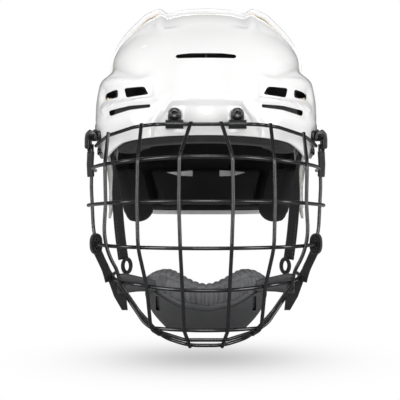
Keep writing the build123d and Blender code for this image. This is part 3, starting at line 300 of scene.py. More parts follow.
def front_relief(points):
    """The forms that only the front shell has: vent pockets, ribs, brow panel and the ridge over it."""
    x, y, z = np.abs(points[..., 0]), points[..., 1], points[..., 2]
    ahead = 1 - soft_step(y, -35, -12)
    relief = crown_relief(points)
    relief -= 2.4 * soft_step(z, *seam_rise) * (1 - 0.45 * hill(x - 34, 12))
    pocket = soft_step(x, 43, 49) * (1 - soft_step(x, 93, 98)) * soft_step(z, 59, 62.5) * (1 - soft_step(z, 73, 77))
    relief -= ahead * 2.6 * pocket
    for rise, width, run in vent_ridges:
        relief += ahead * rise * hill(line_distance(x, z, run), width)
    relief += ahead * 1.2 * hill(z - 43.5, 4.0) * soft_step(x, 56, 66)
    panel_top = 56.0 - 0.055 * x - np.maximum(x - 30, 0) * 1.28
    outside = soft_step(z - panel_top, -0.6, 1.2)
    outside = np.where(x > 46, 1.0, outside)
    relief += ahead * 1.9 * outside * (1 - soft_step(z - panel_top, 3, 18)) * (1 - soft_step(x, 44, 60))
    relief += ahead * 0.9 * hill(z - 60.5, 3.0) * (1 - soft_step(x, 36, 50))
    return relief


def inside_outline(y, z, outline):
    """Whether points read from the side lie inside an outline."""
    inside = np.zeros(y.shape, bool)
    for (y0, z0), (y1, z1) in zip(outline, np.roll(outline, -1, axis=0)):
        crosses = (z0 > z) != (z1 > z)
        run = np.where(z1 == z0, 1e-9, z1 - z0)
        inside ^= crosses & (y < (y1 - y0) * (z - z0) / run + y0)
    return inside


def rounded_outline(outline, passes=3):
    """An outline with its corners cut over and over, so that they are round."""
    outline = np.array(outline, float)
    for _ in range(passes):
        following = np.roll(outline, -1, axis=0)
        outline = np.stack([outline * 0.8 + following * 0.2, outline * 0.2 + following * 0.8], 1).reshape(-1, 2)
    return outline


def turned_out(mesh, merge=0.0):
    """The mesh with its faces turned outwards, and points nearer than merge joined first."""
    form = bmesh.new()
    form.from_mesh(mesh)
    if merge:
        bmesh.ops.remove_doubles(form, verts=form.verts, dist=merge)
    bmesh.ops.recalc_face_normals(form, faces=form.faces)
    form.to_mesh(mesh)
    form.free()
    return mesh


def closed_mesh(name, points, faces):
    """A closed mesh of points in metres and faces, turned outwards."""
    mesh = bpy.data.meshes.new(name)
    mesh.from_pydata(points, [], faces)
    return turned_out(mesh)


def ring_quads(count, sides, closed=False):
    """The faces between rings of points, each joined to the next, and the last to the first if closed."""
    quads = []
    for ring in range(count if closed else count - 1):
        low, high = ring * sides, (ring + 1) % count * sides
        quads += [(low + k, low + (k + 1) % sides, high + (k + 1) % sides, high + k) for k in range(sides)]
    return quads


def end_caps(count, sides):
    """The faces that close the first and the last of a run of rings."""
    return [tuple(range(sides))[::-1], tuple(range((count - 1) * sides, count * sides))]


def shell_mesh(name, growth, outline, relief, lip=0.0, columns=372, rows=88):
    """A shell with a round rim, turned in by a lip at the crown, as one closed mesh."""
    outline = rounded_outline(outline)
    turns = np.linspace(0, 2 * np.pi, 2401)[:-1]

    def edge_of(angles):
        probes = np.linspace(0.02, 1.0, 160)
        grid = form_points(angles[:, None], probes[None, :], growth)
        out = ~inside_outline(grid[..., 1], grid[..., 2], outline)
        first = np.where(out.any(1), out.argmax(1), len(probes) - 1)
        low, high = probes[np.maximum(first - 1, 0)], probes[first]
        for _ in range(18):
            middle = (low + high) / 2
            spot = form_points(angles, middle, growth)
            kept = inside_outline(spot[..., 1], spot[..., 2], outline)
            low, high = np.where(kept, middle, low), np.where(kept, high, middle)
        return low

    edge = edge_of(turns)
    rim_points = form_points(turns, edge, growth)
    belt_points = form_points(turns, np.full(turns.shape, 0.5), growth)
    step = np.linalg.norm(np.roll(rim_points, -1, 0) - rim_points, axis=1)
    step = np.minimum(step, 4.0) + 1.4 * np.linalg.norm(np.roll(belt_points, -1, 0) - belt_points, axis=1)
    walk = np.concatenate([[0], np.cumsum(step)])
    angles = np.interp(np.linspace(0, walk[-1], columns + 1)[:-1], walk, np.append(turns, 2 * np.pi))
    edge = edge_of(angles)
    shares = np.linspace(0, 1, rows + 1)[1:] ** 0.92
    down = 0.012 + shares[None, :] * (edge[:, None] - 0.012)
    angles = angles[:, None] * np.ones_like(down)

    def face(at_growth, spare, turned_in):
        base = form_points(angles, down, at_growth)
        along = form_points(angles, down + 1e-4, at_growth) - form_points(angles, down - 1e-4, at_growth)
        across = form_points(angles + 1e-4, down, at_growth) - form_points(angles - 1e-4, down, at_growth)
        normal = np.cross(along, across)
        normal /= np.linalg.norm(normal, axis=-1, keepdims=True) + 1e-12
        near_hem = soft_step(shares, 0.9, 0.985)[None, :]
        lift = relief(form_points(angles, down, growth))
        lift = np.where(lift > 0, lift, np.minimum(0, lift + spare * (1 - near_hem)))
        lift = lift - turned_in * soft_step(base[..., 2], *seam_rise) * near_hem
        return base + normal * lift[..., None], along / np.linalg.norm(along, axis=-1, keepdims=True)

    outer, hem = face(growth, 0.0, 0.0)
    inner, _ = face(growth - wall, wall - 0.9, lip)
    rings = [outer[:, row] for row in range(rows)]
    half_wall = (outer[:, -1] - inner[:, -1]) / 2
    centre = (outer[:, -1] + inner[:, -1]) / 2
    for turn in np.linspace(0, np.pi, 9)[1:-1]:
        reach = np.sin(turn) ** 0.6 * wall * 0.3
        rings.append(centre + half_wall * np.sign(np.cos(turn)) * abs(np.cos(turn)) ** 0.6 + hem[:, -1] * reach)
    rim_last = len(rings)
    rings += [inner[:, row] for row in range(rows - 1, -1, -1)]
    count = len(rings)
    points = np.concatenate(rings + [outer[:, 0].mean(0)[None], inner[:, 0].mean(0)[None]]) * mm
    top_pole, low_pole = count * columns, count * columns + 1
    last = (count - 1) * columns
    caps = [(top_pole, column, (column + 1) % columns) for column in range(columns)]
    caps += [(low_pole, last + (column + 1) % columns, last + column) for column in range(columns)]
    mesh = closed_mesh(name, points.tolist(), ring_quads(count, columns) + caps)
    rim = np.zeros(len(mesh.polygons), int)
    # Rim kind 2, the outer corner of the rim, is for painted shade; kind 1 is for the tan
    rim[(rows - 1) * columns : (rows + 1) * columns] = 2
    rim[(rim_last - 3) * columns : (rim_last + 1) * columns] = 1
    return mesh, rim


def place_piece(name, mesh):
    """A finished mesh as an object at the origin."""
    piece = bpy.data.objects.new(name, mesh)
    bpy.context.scene.collection.objects.link(piece)
    return piece


def baked(piece):
    """The piece's mesh with its modifiers applied and taken off."""
    seen = piece.evaluated_get(bpy.context.evaluated_depsgraph_get())
    mesh = bpy.data.meshes.new_from_object(seen)
    piece.modifiers.clear()
    piece.data = mesh
    return piece


def smooth_with_creases(mesh, angle):
    """Smooth shading, with creases where faces meet at more than an angle in degrees."""
    mesh.shade_smooth()
    mesh.set_sharp_from_angle(angle=math.radians(angle))


def round_corners(outline, radius, count=5):
    """A closed outline in the front view whose corners are arcs."""
    rounded = []
    for index, corner in enumerate(outline):
        corner = np.array(corner, float)
        before = np.array(outline[index - 1], float) - corner
        after = np.array(outline[(index + 1) % len(outline)], float) - corner
        reach = min(radius, np.linalg.norm(before) * 0.45, np.linalg.norm(after) * 0.45)
        start = corner + before / np.linalg.norm(before) * reach
        end = corner + after / np.linalg.norm(after) * reach
        for share in np.linspace(0, 1, count):
            rounded.append((1 - share) ** 2 * start + 2 * share * (1 - share) * corner + share**2 * end)
    return rounded


def cutter(name, outlines, first, last, sideways=False):
    """One mesh of prisms that cut straight through, seen from the front or, if sideways, from the side."""
    points, faces = [], []
    for outline in outlines:
        base, count = len(points), len(outline)
        for depth in (first, last):
            points += [((depth, u, z) if sideways else (u, depth, z)) for u, z in outline]
        faces += [[base + corner for corner in face] for face in ring_quads(2, count) + end_caps(2, count)]
    return place_piece(name, closed_mesh(name, (np.array(points) * mm).tolist(), faces))


front_hem = [
    (-190, 30), (-123, 30), (-82, 25), (-67, 20), (-45, 12), (-20, 11), (0, 22), (25, 22), (40, 6), (56, 6),
    (70, 30), (62, 70), (50, 100), (50, 210), (-190, 210),
]
rear_hem = [
    (8, 210), (12, 105), (30, 62), (38, 30), (44, 8), (50, -12), (62, -32), (85, -41), (190, -41), (190, 210),
]
vent_shapes = [
    [(49.3, 64.2), (53.4, 71.4), (71.9, 71.2), (69.8, 62.6)],
    [(77.8, 63.6), (78.2, 71), (85.5, 70), (90.8, 68), (90.2, 62.4)],
    [(47.8, 52.6), (47.8, 55.4), (66.5, 55), (86.5, 52.2), (85.4, 47.2), (66.5, 51.4)],
]
forehead_shape = [
    (24.5, 95.2), (26.4, 96.4), (25.4, 98.6), (14, 99.6), (-14, 99.6), (-25.4, 98.6), (-26.4, 96.4), (-24.5, 95.2),
]

front_mesh, _ = shell_mesh("front_shell_dressed", 0.0, front_hem, front_relief)
dressed_front_shell = place_piece("front_shell_dressed", front_mesh)
cut_outlines = []
for side in (1, -1):
    for shape in vent_shapes:
        cut_outlines.append([(side * x, z) for x, z in round_corners(shape, 2.2)])
cut_outlines.append(round_corners(forehead_shape, 1.6))
size_slot = round_corners([(37.6, 39.6), (57.4, 39.6), (57.4, 44.4), (37.6, 44.4)], 2.3)
nut_recess = round_corners([(33, 36), (62, 36), (62, 48), (33, 48)], 4.0)
slot_reach = 110.0
recess_reach = 89.2
shell_cutters = (
    cutter("vent_cutter", cut_outlines, -190.0, -12.0),
    cutter("size_slot_cutter", [size_slot], -slot_reach, slot_reach, sideways=True),
    cutter("nut_recess_cutter", [nut_recess], -recess_reach, recess_reach, sideways=True),
)
for shell_cutter in shell_cutters:
    shell_cut = dressed_front_shell.modifiers.new(shell_cutter.name, "BOOLEAN")
    shell_cut.operation = "DIFFERENCE"
    shell_cut.solver = "EXACT"
    shell_cut.object = shell_cutter
baked(dressed_front_shell)
for shell_cutter in shell_cutters:
    bpy.data.objects.remove(shell_cutter)
middle_downs = np.linspace(0.2, 0.8, 200)
middle_line_heights = form_points(-math.pi / 2, middle_downs, 0.0)[:, 2]
slot_rib = bmesh.new()
slot_rib.from_mesh(dressed_front_shell.data)
rib_heights = (94.2, 100.8)
rib_depths = (-1.7, -2.9)
rib_corners = []
for height in rib_heights:
    down = np.interp(-height, -middle_line_heights, middle_downs)
    for depth in rib_depths:
        rib_spot = form_points(-math.pi / 2, down, depth)
        rib_corners += [slot_rib.verts.new((x * mm, rib_spot[1] * mm, rib_spot[2] * mm)) for x in (-0.8, 0.8)]
# The rib in the forehead slot takes the inside near-black, as painted shade in the slot
for rib_face in bmesh.ops.convex_hull(slot_rib, input=rib_corners)["geom"]:
    if isinstance(rib_face, bmesh.types.BMFace):
        rib_face.material_index = 1
slot_rib.to_mesh(dressed_front_shell.data)
slot_rib.free()
smooth_with_creases(dressed_front_shell.data, 38)

rear_mesh, rear_rim = shell_mesh("rear_shell_dressed", wall + wall_gap, rear_hem, crown_relief, lip=2.6)
dressed_rear_shell = place_piece("rear_shell_dressed", rear_mesh)
smooth_with_creases(rear_mesh, 38)


def surface_group(name, inputs, outputs, nodes, links):
    """A shader node group of numbers in, and of numbers and a normal out."""
    group = bpy.data.node_groups.new(name, "ShaderNodeTree")
    for label, value in inputs.items():
        group.interface.new_socket(label, in_out="INPUT", socket_type="NodeSocketFloat").default_value = value
    for label in outputs:
        kind = "NodeSocketVector" if label == "Normal" else "NodeSocketFloat"
        group.interface.new_socket(label, in_out="OUTPUT", socket_type=kind)
    build_tree(group, {"in": ("NodeGroupInput",), "out": ("NodeGroupOutput",), **nodes}, links)
    return group


# Moulded grain: a fine uneven gloss and a slight orange peel, used by every moulded or coated surface
moulded_grain = surface_group(
    "moulded_grain",
    {"Grain Size": 900.0, "Depth": 0.02, "Rough Low": 0.18, "Rough High": 0.3},
    ["Roughness", "Shade", "Normal"],
    {
        "place": ("ShaderNodeTexCoord",),
        "fine": ("ShaderNodeTexNoise", {}, {"Detail": 3.0}),
        "wide": ("ShaderNodeTexNoise", {}, {"Scale": 28.0, "Detail": 4.0}),
        "rough": ("ShaderNodeMapRange", {}, {"From Min": 0.3, "From Max": 0.7}),
        "bump": ("ShaderNodeBump", {}, {"Distance": 0.0004}),
    },
    [
        "place.Object > fine.Vector", "in.Grain Size > fine.Scale", "place.Object > wide.Vector",
        "wide.Fac > rough.Value", "in.Rough Low > rough.To Min", "in.Rough High > rough.To Max",
        "in.Depth > bump.Strength", "fine.Fac > bump.Height",
        "rough.Result > out.Roughness", "wide.Fac > out.Shade", "bump.Normal > out.Normal",
    ],
)


def toned_material(name, group, sizes, dark, light, finish):
    """A surface that varies between two tones, with the relief of a surface group. Finish sets its shader."""
    material = bpy.data.materials.new(name)
    material.use_nodes = True
    links = ["shader.BSDF > surface.Surface", "grain.Shade > tones.Factor", "tones.Result > shader.Base Color"]
    links += [f"grain.{label} > shader.{label}" for label in ("Roughness", "Normal") if label not in finish]
    build_tree(
        material.node_tree,
        {
            "surface": ("ShaderNodeOutputMaterial",),
            "shader": ("ShaderNodeBsdfPrincipled", {}, finish),
            "grain": ("ShaderNodeGroup", {"node_tree": group}, sizes),
            "tones": ("ShaderNodeMix", {"data_type": "RGBA"}, {"A": (*dark, 1.0), "B": (*light, 1.0)}),
        },
        links,
    )
    return material


def moulded_material(name, dark, light, size, depth, rough, coat=0.0, metallic=0.0):
    """A moulded or coated surface whose colour varies slightly between two tones."""
    sizes = {"Grain Size": size, "Depth": depth, "Rough Low": rough[0], "Rough High": rough[1]}
    finish = {"Coat Weight": coat, "Coat Roughness": 0.08, "Metallic": metallic}
    return toned_material(name, moulded_grain, sizes, dark, light, finish)


shell_gloss = moulded_material(
    "shell_white_gloss", (0.855, 0.853, 0.85), (0.88, 0.878, 0.875), 700.0, 0.03, (0.2, 0.28), coat=0.8
)
seam_tan = moulded_material("shell_seam_tan", (0.66, 0.56, 0.42), (0.74, 0.64, 0.5), 1200.0, 0.05, (0.4, 0.55))
# Painted shade: a grey for the outer corner of the rear shell's rim, where the seam's edge falls dark
rim_painted_shade = moulded_material("shell_edge_grey", (0.4, 0.4, 0.42), (0.5, 0.5, 0.52), 1200.0, 0.05, (0.4, 0.55))
dressed_front_shell.data.materials.append(shell_gloss)
rear_mesh.materials.append(shell_gloss)
rear_mesh.materials.append(seam_tan)
rear_mesh.materials.append(rim_painted_shade)
# Above a height, rim faces of kind 1 take the tan and those of kind 2 the painted shade
seam_low = 60
for face, on_rim in zip(rear_mesh.polygons, rear_rim):
    if on_rim and face.center[2] > seam_low * mm:
        face.material_index = int(on_rim)
# The shells' inner faces take a near-black: partly the black liner that covers them, partly painted shade inside the
# helmet
inside_liner_and_shade = moulded_material(
    "shell_inside_dark", (0.012, 0.012, 0.013), (0.022, 0.022, 0.024), 900.0, 0.1, (0.55, 0.7)
)
inside_lean = -0.45
for shell_piece in (dressed_front_shell, dressed_rear_shell):
    shell_piece.data.materials.append(inside_liner_and_shade)
    for face in shell_piece.data.polygons:
        outward = face.center - Vector((0.0, 0.005, 0.02))
        dark_above = -37.8 if face.center.y > 60 * mm else -28.0
        if face.normal.dot(outward) < inside_lean * outward.length and face.center.z > dark_above * mm:
            face.material_index = len(shell_piece.data.materials) - 1
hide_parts("front_shell")
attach(dressed_front_shell, "front_body")
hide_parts("rear_shell")
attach(dressed_rear_shell, "rear_body")

# ---- Cage
# Steel wire bent and spot welded, with a glossy black powder coat that is slightly uneven.
# The wires that end at the top bar are cut off just above it.
cage_coat = moulded_material(
    "cage_powder_coat", (0.007, 0.007, 0.008), (0.014, 0.014, 0.016), 2200.0, 0.12, (0.14, 0.26), coat=0.6
)
cage_nodes = [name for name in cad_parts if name.startswith("cage_bar")]
cage_nodes += ["cage_top_bar", "cage_rim_wire"]
trimmed_wires = [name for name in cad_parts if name.startswith("upright")] + ["cage_chin_loop"]
wire_end_stand = 0.5


def dress_node(name, material):
    """A better material on a CAD node, in each of its material slots."""
    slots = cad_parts[name].material_slots
    for node_slot in slots:
        node_slot.material = material
    if not slots:
        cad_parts[name].data.materials.append(material)


for name in cage_nodes:
    dress_node(name, cage_coat)


def welded_copy(node):
    """A copy of a CAD node's mesh with its loose triangles joined."""
    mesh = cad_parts[node].data.copy()
    mesh.materials.clear()
    form = bmesh.new()
    form.from_mesh(mesh)
    bmesh.ops.remove_doubles(form, verts=form.verts, dist=2e-5)
    form.to_mesh(mesh)
    form.free()
    return mesh


def bar_top(x):
    """The height of the top bar's upper side at an x, in metres."""
    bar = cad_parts["cage_top_bar"]
    for height in np.arange(60.0, 10.0, -0.1) * mm:
        if bar.ray_cast(Vector((x, -0.3, height)), Vector((0, 1, 0)))[0]:
            return height
    raise ValueError(f"no bar at {x}")


def loose_parts(form):
    """The groups of joined vertices of a mesh in editing, the largest first."""
    left, groups = set(form.verts), []
    while left:
        group, edge = set(), {left.pop()}
        while edge:
            group |= edge
            edge = {link.other_vert(vertex) for vertex in edge for link in vertex.link_edges} - group
        left -= group
        groups.append(group)
    return sorted(groups, key=len, reverse=True)


for name in trimmed_wires:
    wire_mesh = welded_copy(name)
    tip = max(wire_mesh.vertices, key=lambda vertex: vertex.co.z).co
    cut_point = (0.0, 0.0, bar_top(tip.x) + wire_end_stand * mm)
    form = bmesh.new()
    form.from_mesh(wire_mesh)
    whole = list(form.verts) + list(form.edges) + list(form.faces)
    bmesh.ops.bisect_plane(form, geom=whole, plane_co=cut_point, plane_no=(0, 0, 1), clear_outer=True)
    for scrap in loose_parts(form)[1:]:
        bmesh.ops.delete(form, geom=list(scrap), context="VERTS")
    bmesh.ops.holes_fill(form, edges=[edge for edge in form.edges if edge.is_boundary], sides=0)
    form.to_mesh(wire_mesh)
    form.free()
    smooth_with_creases(wire_mesh, 40)
    wire = place_piece(f"{name}_trimmed", wire_mesh)
    wire.data.materials.append(cage_coat)
    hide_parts(name)
    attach(wire, "cage_body")

# ---- Liner
# Blocks of moulded foam with a knitted black lining, each held to its shell with hook and loop.
# They are cut to the head, so their edges are soft and their inner faces slightly crowned.


def softened_pad(name, node, cell, passes, front_outline=None):
    """A soft pad in the space of a CAD pad: its faces made of even cells, its edges rounded."""
    pad = place_piece(name, welded_copy(node))
    if front_outline:
        trimmer = cutter(f"{name}_trimmer", [front_outline], 0.0, 130.0)
        trim = pad.modifiers.new("trim", "BOOLEAN")
        trim.operation = "INTERSECT"
        trim.object = trimmer
        baked(pad)
        bpy.data.objects.remove(trimmer)
    remesh = pad.modifiers.new("even_cells", "REMESH")
    remesh.mode = "VOXEL"
    remesh.voxel_size = cell
    soften = pad.modifiers.new("soft_edges", "SMOOTH")
    soften.iterations = passes
    soften.factor = 0.5
    baked(pad)
    pad.data.shade_smooth()
    return pad


def vertex_rows(mesh, field):
    """The places (co) or normals (normal) of a mesh's vertices, one row each."""
    values = np.zeros(len(mesh.vertices) * 3)
    mesh.vertices.foreach_get(field, values)
    return values.reshape(-1, 3)


def move_vertices(mesh, places):
    """Put a mesh's vertices at places, one row each."""
    mesh.vertices.foreach_set("co", places.ravel())
    mesh.update()


def puffed(pad, pressure, most):
    """Fill the pad by cloth simulation, with no point moved further than a limit in metres."""
    rest = vertex_rows(pad.data, "co")
    cloth = pad.modifiers.new("filling", "CLOTH")
    cloth.settings.use_pressure = True
    cloth.settings.uniform_pressure_force = pressure
    cloth.settings.effector_weights.gravity = 0.0
    cloth.settings.quality = 4
    for frame_number in range(1, 21):
        bpy.context.scene.frame_set(frame_number)
    baked(pad)
    bpy.context.scene.frame_set(1)
    shift = vertex_rows(pad.data, "co") - rest
    length = np.linalg.norm(shift, axis=1, keepdims=True) + 1e-12
    move_vertices(pad.data, rest + shift * np.minimum(1.0, most / length))


# Knitted cloth: rows of small loops over a soft, slightly worn nap
knit_cloth = surface_group(
    "knit_cloth",
    {"Loop Size": 620.0, "Depth": 0.35},
    ["Shade", "Normal"],
    {
        "place": ("ShaderNodeTexCoord",),
        "loops": ("ShaderNodeTexVoronoi", {}, {"Randomness": 0.35}),
        "nap": ("ShaderNodeTexNoise", {}, {"Scale": 60.0, "Detail": 5.0}),
        "sum": ("ShaderNodeMath", {"operation": "MULTIPLY_ADD"}, {1: -0.5}),
        "bump": ("ShaderNodeBump", {}, {"Distance": 0.0006}),
    },
    [
        "place.Object > loops.Vector", "in.Loop Size > loops.Scale", "place.Object > nap.Vector",
        "loops.Distance > sum.0", "nap.Fac > sum.2", "in.Depth > bump.Strength", "sum.Value > bump.Height",
        "nap.Fac > out.Shade", "bump.Normal > out.Normal",
    ],
)


def cloth_material(name, group, size, depth, dark, light, rough, sheen):
    """A woven, knitted or sewn surface between two tones, with the relief of one of the cloth groups."""
    size_label = next(item.name for item in group.interface.items_tree if item.in_out == "INPUT")
    finish = {"Roughness": rough, "Sheen Weight": sheen, "Sheen Roughness": 0.5, "Specular IOR Level": 0.3}
    return toned_material(name, group, {size_label: size, "Depth": depth}, dark, light, finish)


liner_knit = cloth_material(
    "liner_knit", knit_cloth, 520.0, 0.4, (0.006, 0.006, 0.007), (0.02, 0.02, 0.022), 0.85, 0.06
)
brow_knit = cloth_material(
    "brow_knit", knit_cloth, 520.0, 0.4, (0.012, 0.012, 0.013), (0.03, 0.03, 0.033), 0.8, 0.08
)
bare_foam = moulded_material("bare_cream_foam", (0.62, 0.52, 0.38), (0.72, 0.62, 0.47), 800.0, 0.3, (0.7, 0.85))
front_pads = ["brow_pad", "forehead_pad", "crown_pad", "side_pad_left", "side_pad_right"]
rear_pads = ["rear_crown_pad"]
for kind in ("rear_pad", "nape_pad", "mastoid_pad"):
    rear_pads += [f"{kind}_left", f"{kind}_right"]
mastoid_outline = [(40, 12), (49, -30), (50, -38), (53, -43), (58, -46.5), (67, -49.5), (110, -50), (110, 12)]
bare_from, bare_low, bare_high = 84.5, 54, 80
for node in front_pads + rear_pads:
    rounded_to = None
    if "mastoid" in node:
        rounded_to = [(x if "left" in node else -x, z) for x, z in mastoid_outline]
    liner_pad = softened_pad(f"{node}_foam", node, 0.0026, 12 if rounded_to else 5, rounded_to)
    liner_pad.data.materials.append(brow_knit if node == "brow_pad" else liner_knit)
    if "side_pad" in node:
        liner_pad.data.materials.append(bare_foam)
        for face in liner_pad.data.polygons:
            outermost = abs(face.center.x) > bare_from * mm and face.normal.x * face.center.x > 0
            if outermost and bare_low * mm < face.center.z < bare_high * mm:
                face.material_index = 1
    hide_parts(node)
    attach(liner_pad, "front_body" if node in front_pads else "rear_body")

# ---- Occipital pad
# A trapezoid pad of soft foam with a smooth stretch cover, glued to a plastic carrier whose two pins slide
# in a guide at the nape. Two pale plastic tongues show in the slots at its top edge.
occipital_cover = cloth_material(
    "occipital_cover", knit_cloth, 900.0, 0.25, (0.006, 0.006, 0.007), (0.017, 0.017, 0.019), 0.7, 0.05
)
occipital_foam = softened_pad("occipital_pad_foam", "occipital_pad", 0.0025, 6)
puffed(occipital_foam, 3.0, 0.002)
occipital_foam.data.shade_smooth()
occipital_foam.data.materials.append(occipital_cover)
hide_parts("occipital_pad")
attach(occipital_foam, "occipital_body")


def joined_mesh(name, meshes, materials=()):
    """Several meshes as one; each gets its own material if materials are given."""
    form = bmesh.new()
    for number, mesh in enumerate(meshes):
        first = len(form.faces)
        form.from_mesh(mesh)
        form.faces.ensure_lookup_table()
        if materials:
            for face in form.faces[first:]:
                face.material_index = number
    whole = bpy.data.meshes.new(name)
    form.to_mesh(whole)
    form.free()
    for material in materials:
        whole.materials.append(material)
    return whole


tongue_plastic = moulded_material(
    "tongue_plastic", (0.55, 0.55, 0.56), (0.7, 0.7, 0.71), 1500.0, 0.08, (0.35, 0.5)
)
tongue_thickness = 1.4
tongue_sink = 0.7
tongue_outline = [(13.5, 3.0), (13.5, -3.2), (28, -2.6), (39.5, 0.6), (30, 1.8)]


def pad_front(x, z):
    """The y where a line read from the front meets the occipital pad, or 120 mm where it misses."""
    found, place, _, _ = occipital_foam.ray_cast(Vector((x, 0.0, z)), Vector((0, 1, 0)), distance=0.12)
    return place.y if found else 0.12


tongue_meshes = []
for side in (1, -1):
    rim = [(side * x * mm, z * mm) for x, z in round_corners(tongue_outline, 1.0, 3)]
    front = [(x, pad_front(x, z) - tongue_sink * mm, z) for x, z in rim]
    back = [(x, y + tongue_thickness * mm, z) for x, y, z in front]
    count = len(rim)
    faces = [tuple(range(count)), tuple(range(2 * count - 1, count - 1, -1))]
    faces += [(k, count + k, count + (k + 1) % count, (k + 1) % count) for k in range(count)]
    tongue_meshes.append(closed_mesh(f"tongue_{side}", front + back, faces))
carrier_tongues = place_piece("carrier_tongues", joined_mesh("carrier_tongues", tongue_meshes))
carrier_tongues.data.materials.append(tongue_plastic)
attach(carrier_tongues, "occipital_body")

black_plastic = moulded_material(
    "moulded_black_plastic", (0.01, 0.0105, 0.012), (0.02, 0.0205, 0.023), 1600.0, 0.18, (0.3, 0.45)
)
for name in ("occipital_guide", "occipital_carrier"):
    dress_node(name, black_plastic)

# ---- Fasteners
# Steel screws with domed black heads and a six-sided socket. They hold the cage clips, the hooks,
# the ear guards and the size adjustment, and the zinc nuts sit inside the shells.
head_sides = 36


def screw_mesh(name, radius, height, shank_radius, shank_length, socket_share=0.5, socket_depth=0.6):
    """A round-headed screw pointing along +Z, with its seat at the origin."""
    turns = [2 * math.pi * k / head_sides for k in range(head_sides)]
    hexagon = [math.cos(math.pi / 6) / math.cos(turn % (math.pi / 3) - math.pi / 6) for turn in turns]
    socket = radius * socket_share
    plain_rings = [
        (shank_radius * 0.7, -shank_length),
        (shank_radius, -shank_length + shank_radius * 0.4),
        (shank_radius, 0.0),
        (radius * 0.97, 0.0),
        (radius, height * 0.12),
        (radius, height * 0.45),
        (radius * 0.93, height * 0.76),
        (radius * 0.78, height * 0.94),
        (radius * 0.66, height),
    ]
    rings = [([reach] * head_sides, z) for reach, z in plain_rings]
    for share, z in ((1.08, height), (1.0, height * 0.93), (0.97, height * (1 - socket_depth))):
        rings.append(([socket * share * h for h in hexagon], z))
    rings.append(([socket * 0.2] * head_sides, height * (0.92 - socket_depth)))
    points = [(r * math.cos(t) * mm, r * math.sin(t) * mm, z * mm) for reach, z in rings for r, t in zip(reach, turns)]
    mesh = closed_mesh(name, points, ring_quads(len(rings), head_sides) + end_caps(len(rings), head_sides))
    smooth_with_creases(mesh, 32)
    return mesh


fastener_tree = bpy.data.node_groups.new("fasteners_on_points", "GeometryNodeTree")
for label, kind, way in (
    ("Geometry", "NodeSocketGeometry", "INPUT"),
    ("Fastener", "NodeSocketObject", "INPUT"),
    ("Finish", "NodeSocketMaterial", "INPUT"),
    ("Geometry", "NodeSocketGeometry", "OUTPUT"),
):
    fastener_tree.interface.new_socket(label, in_out=way, socket_type=kind)
build_tree(
    fastener_tree,
    {
        "in": ("NodeGroupInput",),
        "out": ("NodeGroupOutput",),
        "aim": ("GeometryNodeInputNamedAttribute", {"data_type": "FLOAT_VECTOR"}, {"Name": "aim"}),
        "turn": ("FunctionNodeAlignRotationToVector", {"axis": "Z"}),
        "shape": ("GeometryNodeObjectInfo",),
        "set": ("GeometryNodeInstanceOnPoints",),
        "real": ("GeometryNodeRealizeInstances",),
        "coat": ("GeometryNodeSetMaterial",),
    },
    [
        "in.Fastener > shape.Object", "in.Geometry > set.Points", "shape.Geometry > set.Instance",
        "aim.Attribute > turn.Vector", "turn.Rotation > set.Rotation", "set.Instances > real.Geometry",
        "real.Geometry > coat.Geometry", "in.Finish > coat.Material", "coat.Geometry > out.Geometry",
    ],
)


def fasteners(name, shape_mesh, finish_material, places):
    """One shape set at each place and turned along its aim, as one plain mesh."""
    mesh = bpy.data.meshes.new(name)
    mesh.from_pydata([place for place, _ in places], [], [])
    aims = mesh.attributes.new("aim", "FLOAT_VECTOR", "POINT")
    for index, (_, aim) in enumerate(places):
        aims.data[index].vector = aim
    piece = place_piece(name, mesh)
    shape = place_piece(f"{name}_shape", shape_mesh)
    setter = piece.modifiers.new("places", "NODES")
    setter.node_group = fastener_tree
    sockets = {item.name: item.identifier for item in fastener_tree.interface.items_tree if item.in_out == "INPUT"}
    setter[sockets["Fastener"]] = shape
    setter[sockets["Finish"]] = finish_material
    baked(piece)
    bpy.data.objects.remove(shape)
    return piece


screw_black = moulded_material(
    "screw_black_oxide", (0.005, 0.005, 0.006), (0.014, 0.014, 0.015), 2600.0, 0.3, (0.14, 0.3), coat=0.4
)
nut_zinc = moulded_material(
    "nut_zinc_plate", (0.45, 0.45, 0.46), (0.6, 0.6, 0.61), 2400.0, 0.15, (0.28, 0.42), metallic=1.0
)


def both_sides(node, height, y, z):
    """The seats of a pair of side screws, read from their CAD node, and which way they point."""
    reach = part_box(node)[1].x - height * mm
    return [((side * reach, y * mm, z * mm), (side, 0.0, 0.0)) for side in (1, -1)]


clip_seat_x, clip_seat_y, clip_seat_z = 26.7, -118.05, 46.0
# For each screw node: radius, height, shank radius and length and the socket's shares, then seats and body
screw_sets = {
    "cage_clip_screws": (
        (5.2, 3.0, 2.5, 14.0, 0.5, 0.75),
        [((side * clip_seat_x * mm, clip_seat_y * mm, clip_seat_z * mm), (0.0, -1.0, 0.0)) for side in (1, -1)],
        "front_body",
    ),
    "j_hook_screws": ((3.6, 1.8, 1.8, 9.0), both_sides("j_hook_screws", 1.8, -18, 33), "front_body"),
    "ear_screws": ((3.4, 1.8, 1.8, 14.0), both_sides("ear_screws", 1.8, -33, 17), "front_body"),
    "size_screws": ((5.0, 3.0, 2.0, 19.0), both_sides("size_screws", 3.0, 40, 42), "rear_body"),
}
for node, (sizes, places, body) in screw_sets.items():
    screws = fasteners(f"{node}_dressed", screw_mesh(f"{node}_form", *sizes), screw_black, places)
    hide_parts(node)
    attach(screws, body)
for name in ("cage_clip_nuts", "ear_nuts", "size_nuts"):
    dress_node(name, nut_zinc)
for name in ("retaining_studs", "cup_snaps"):
    dress_node(name, screw_black)

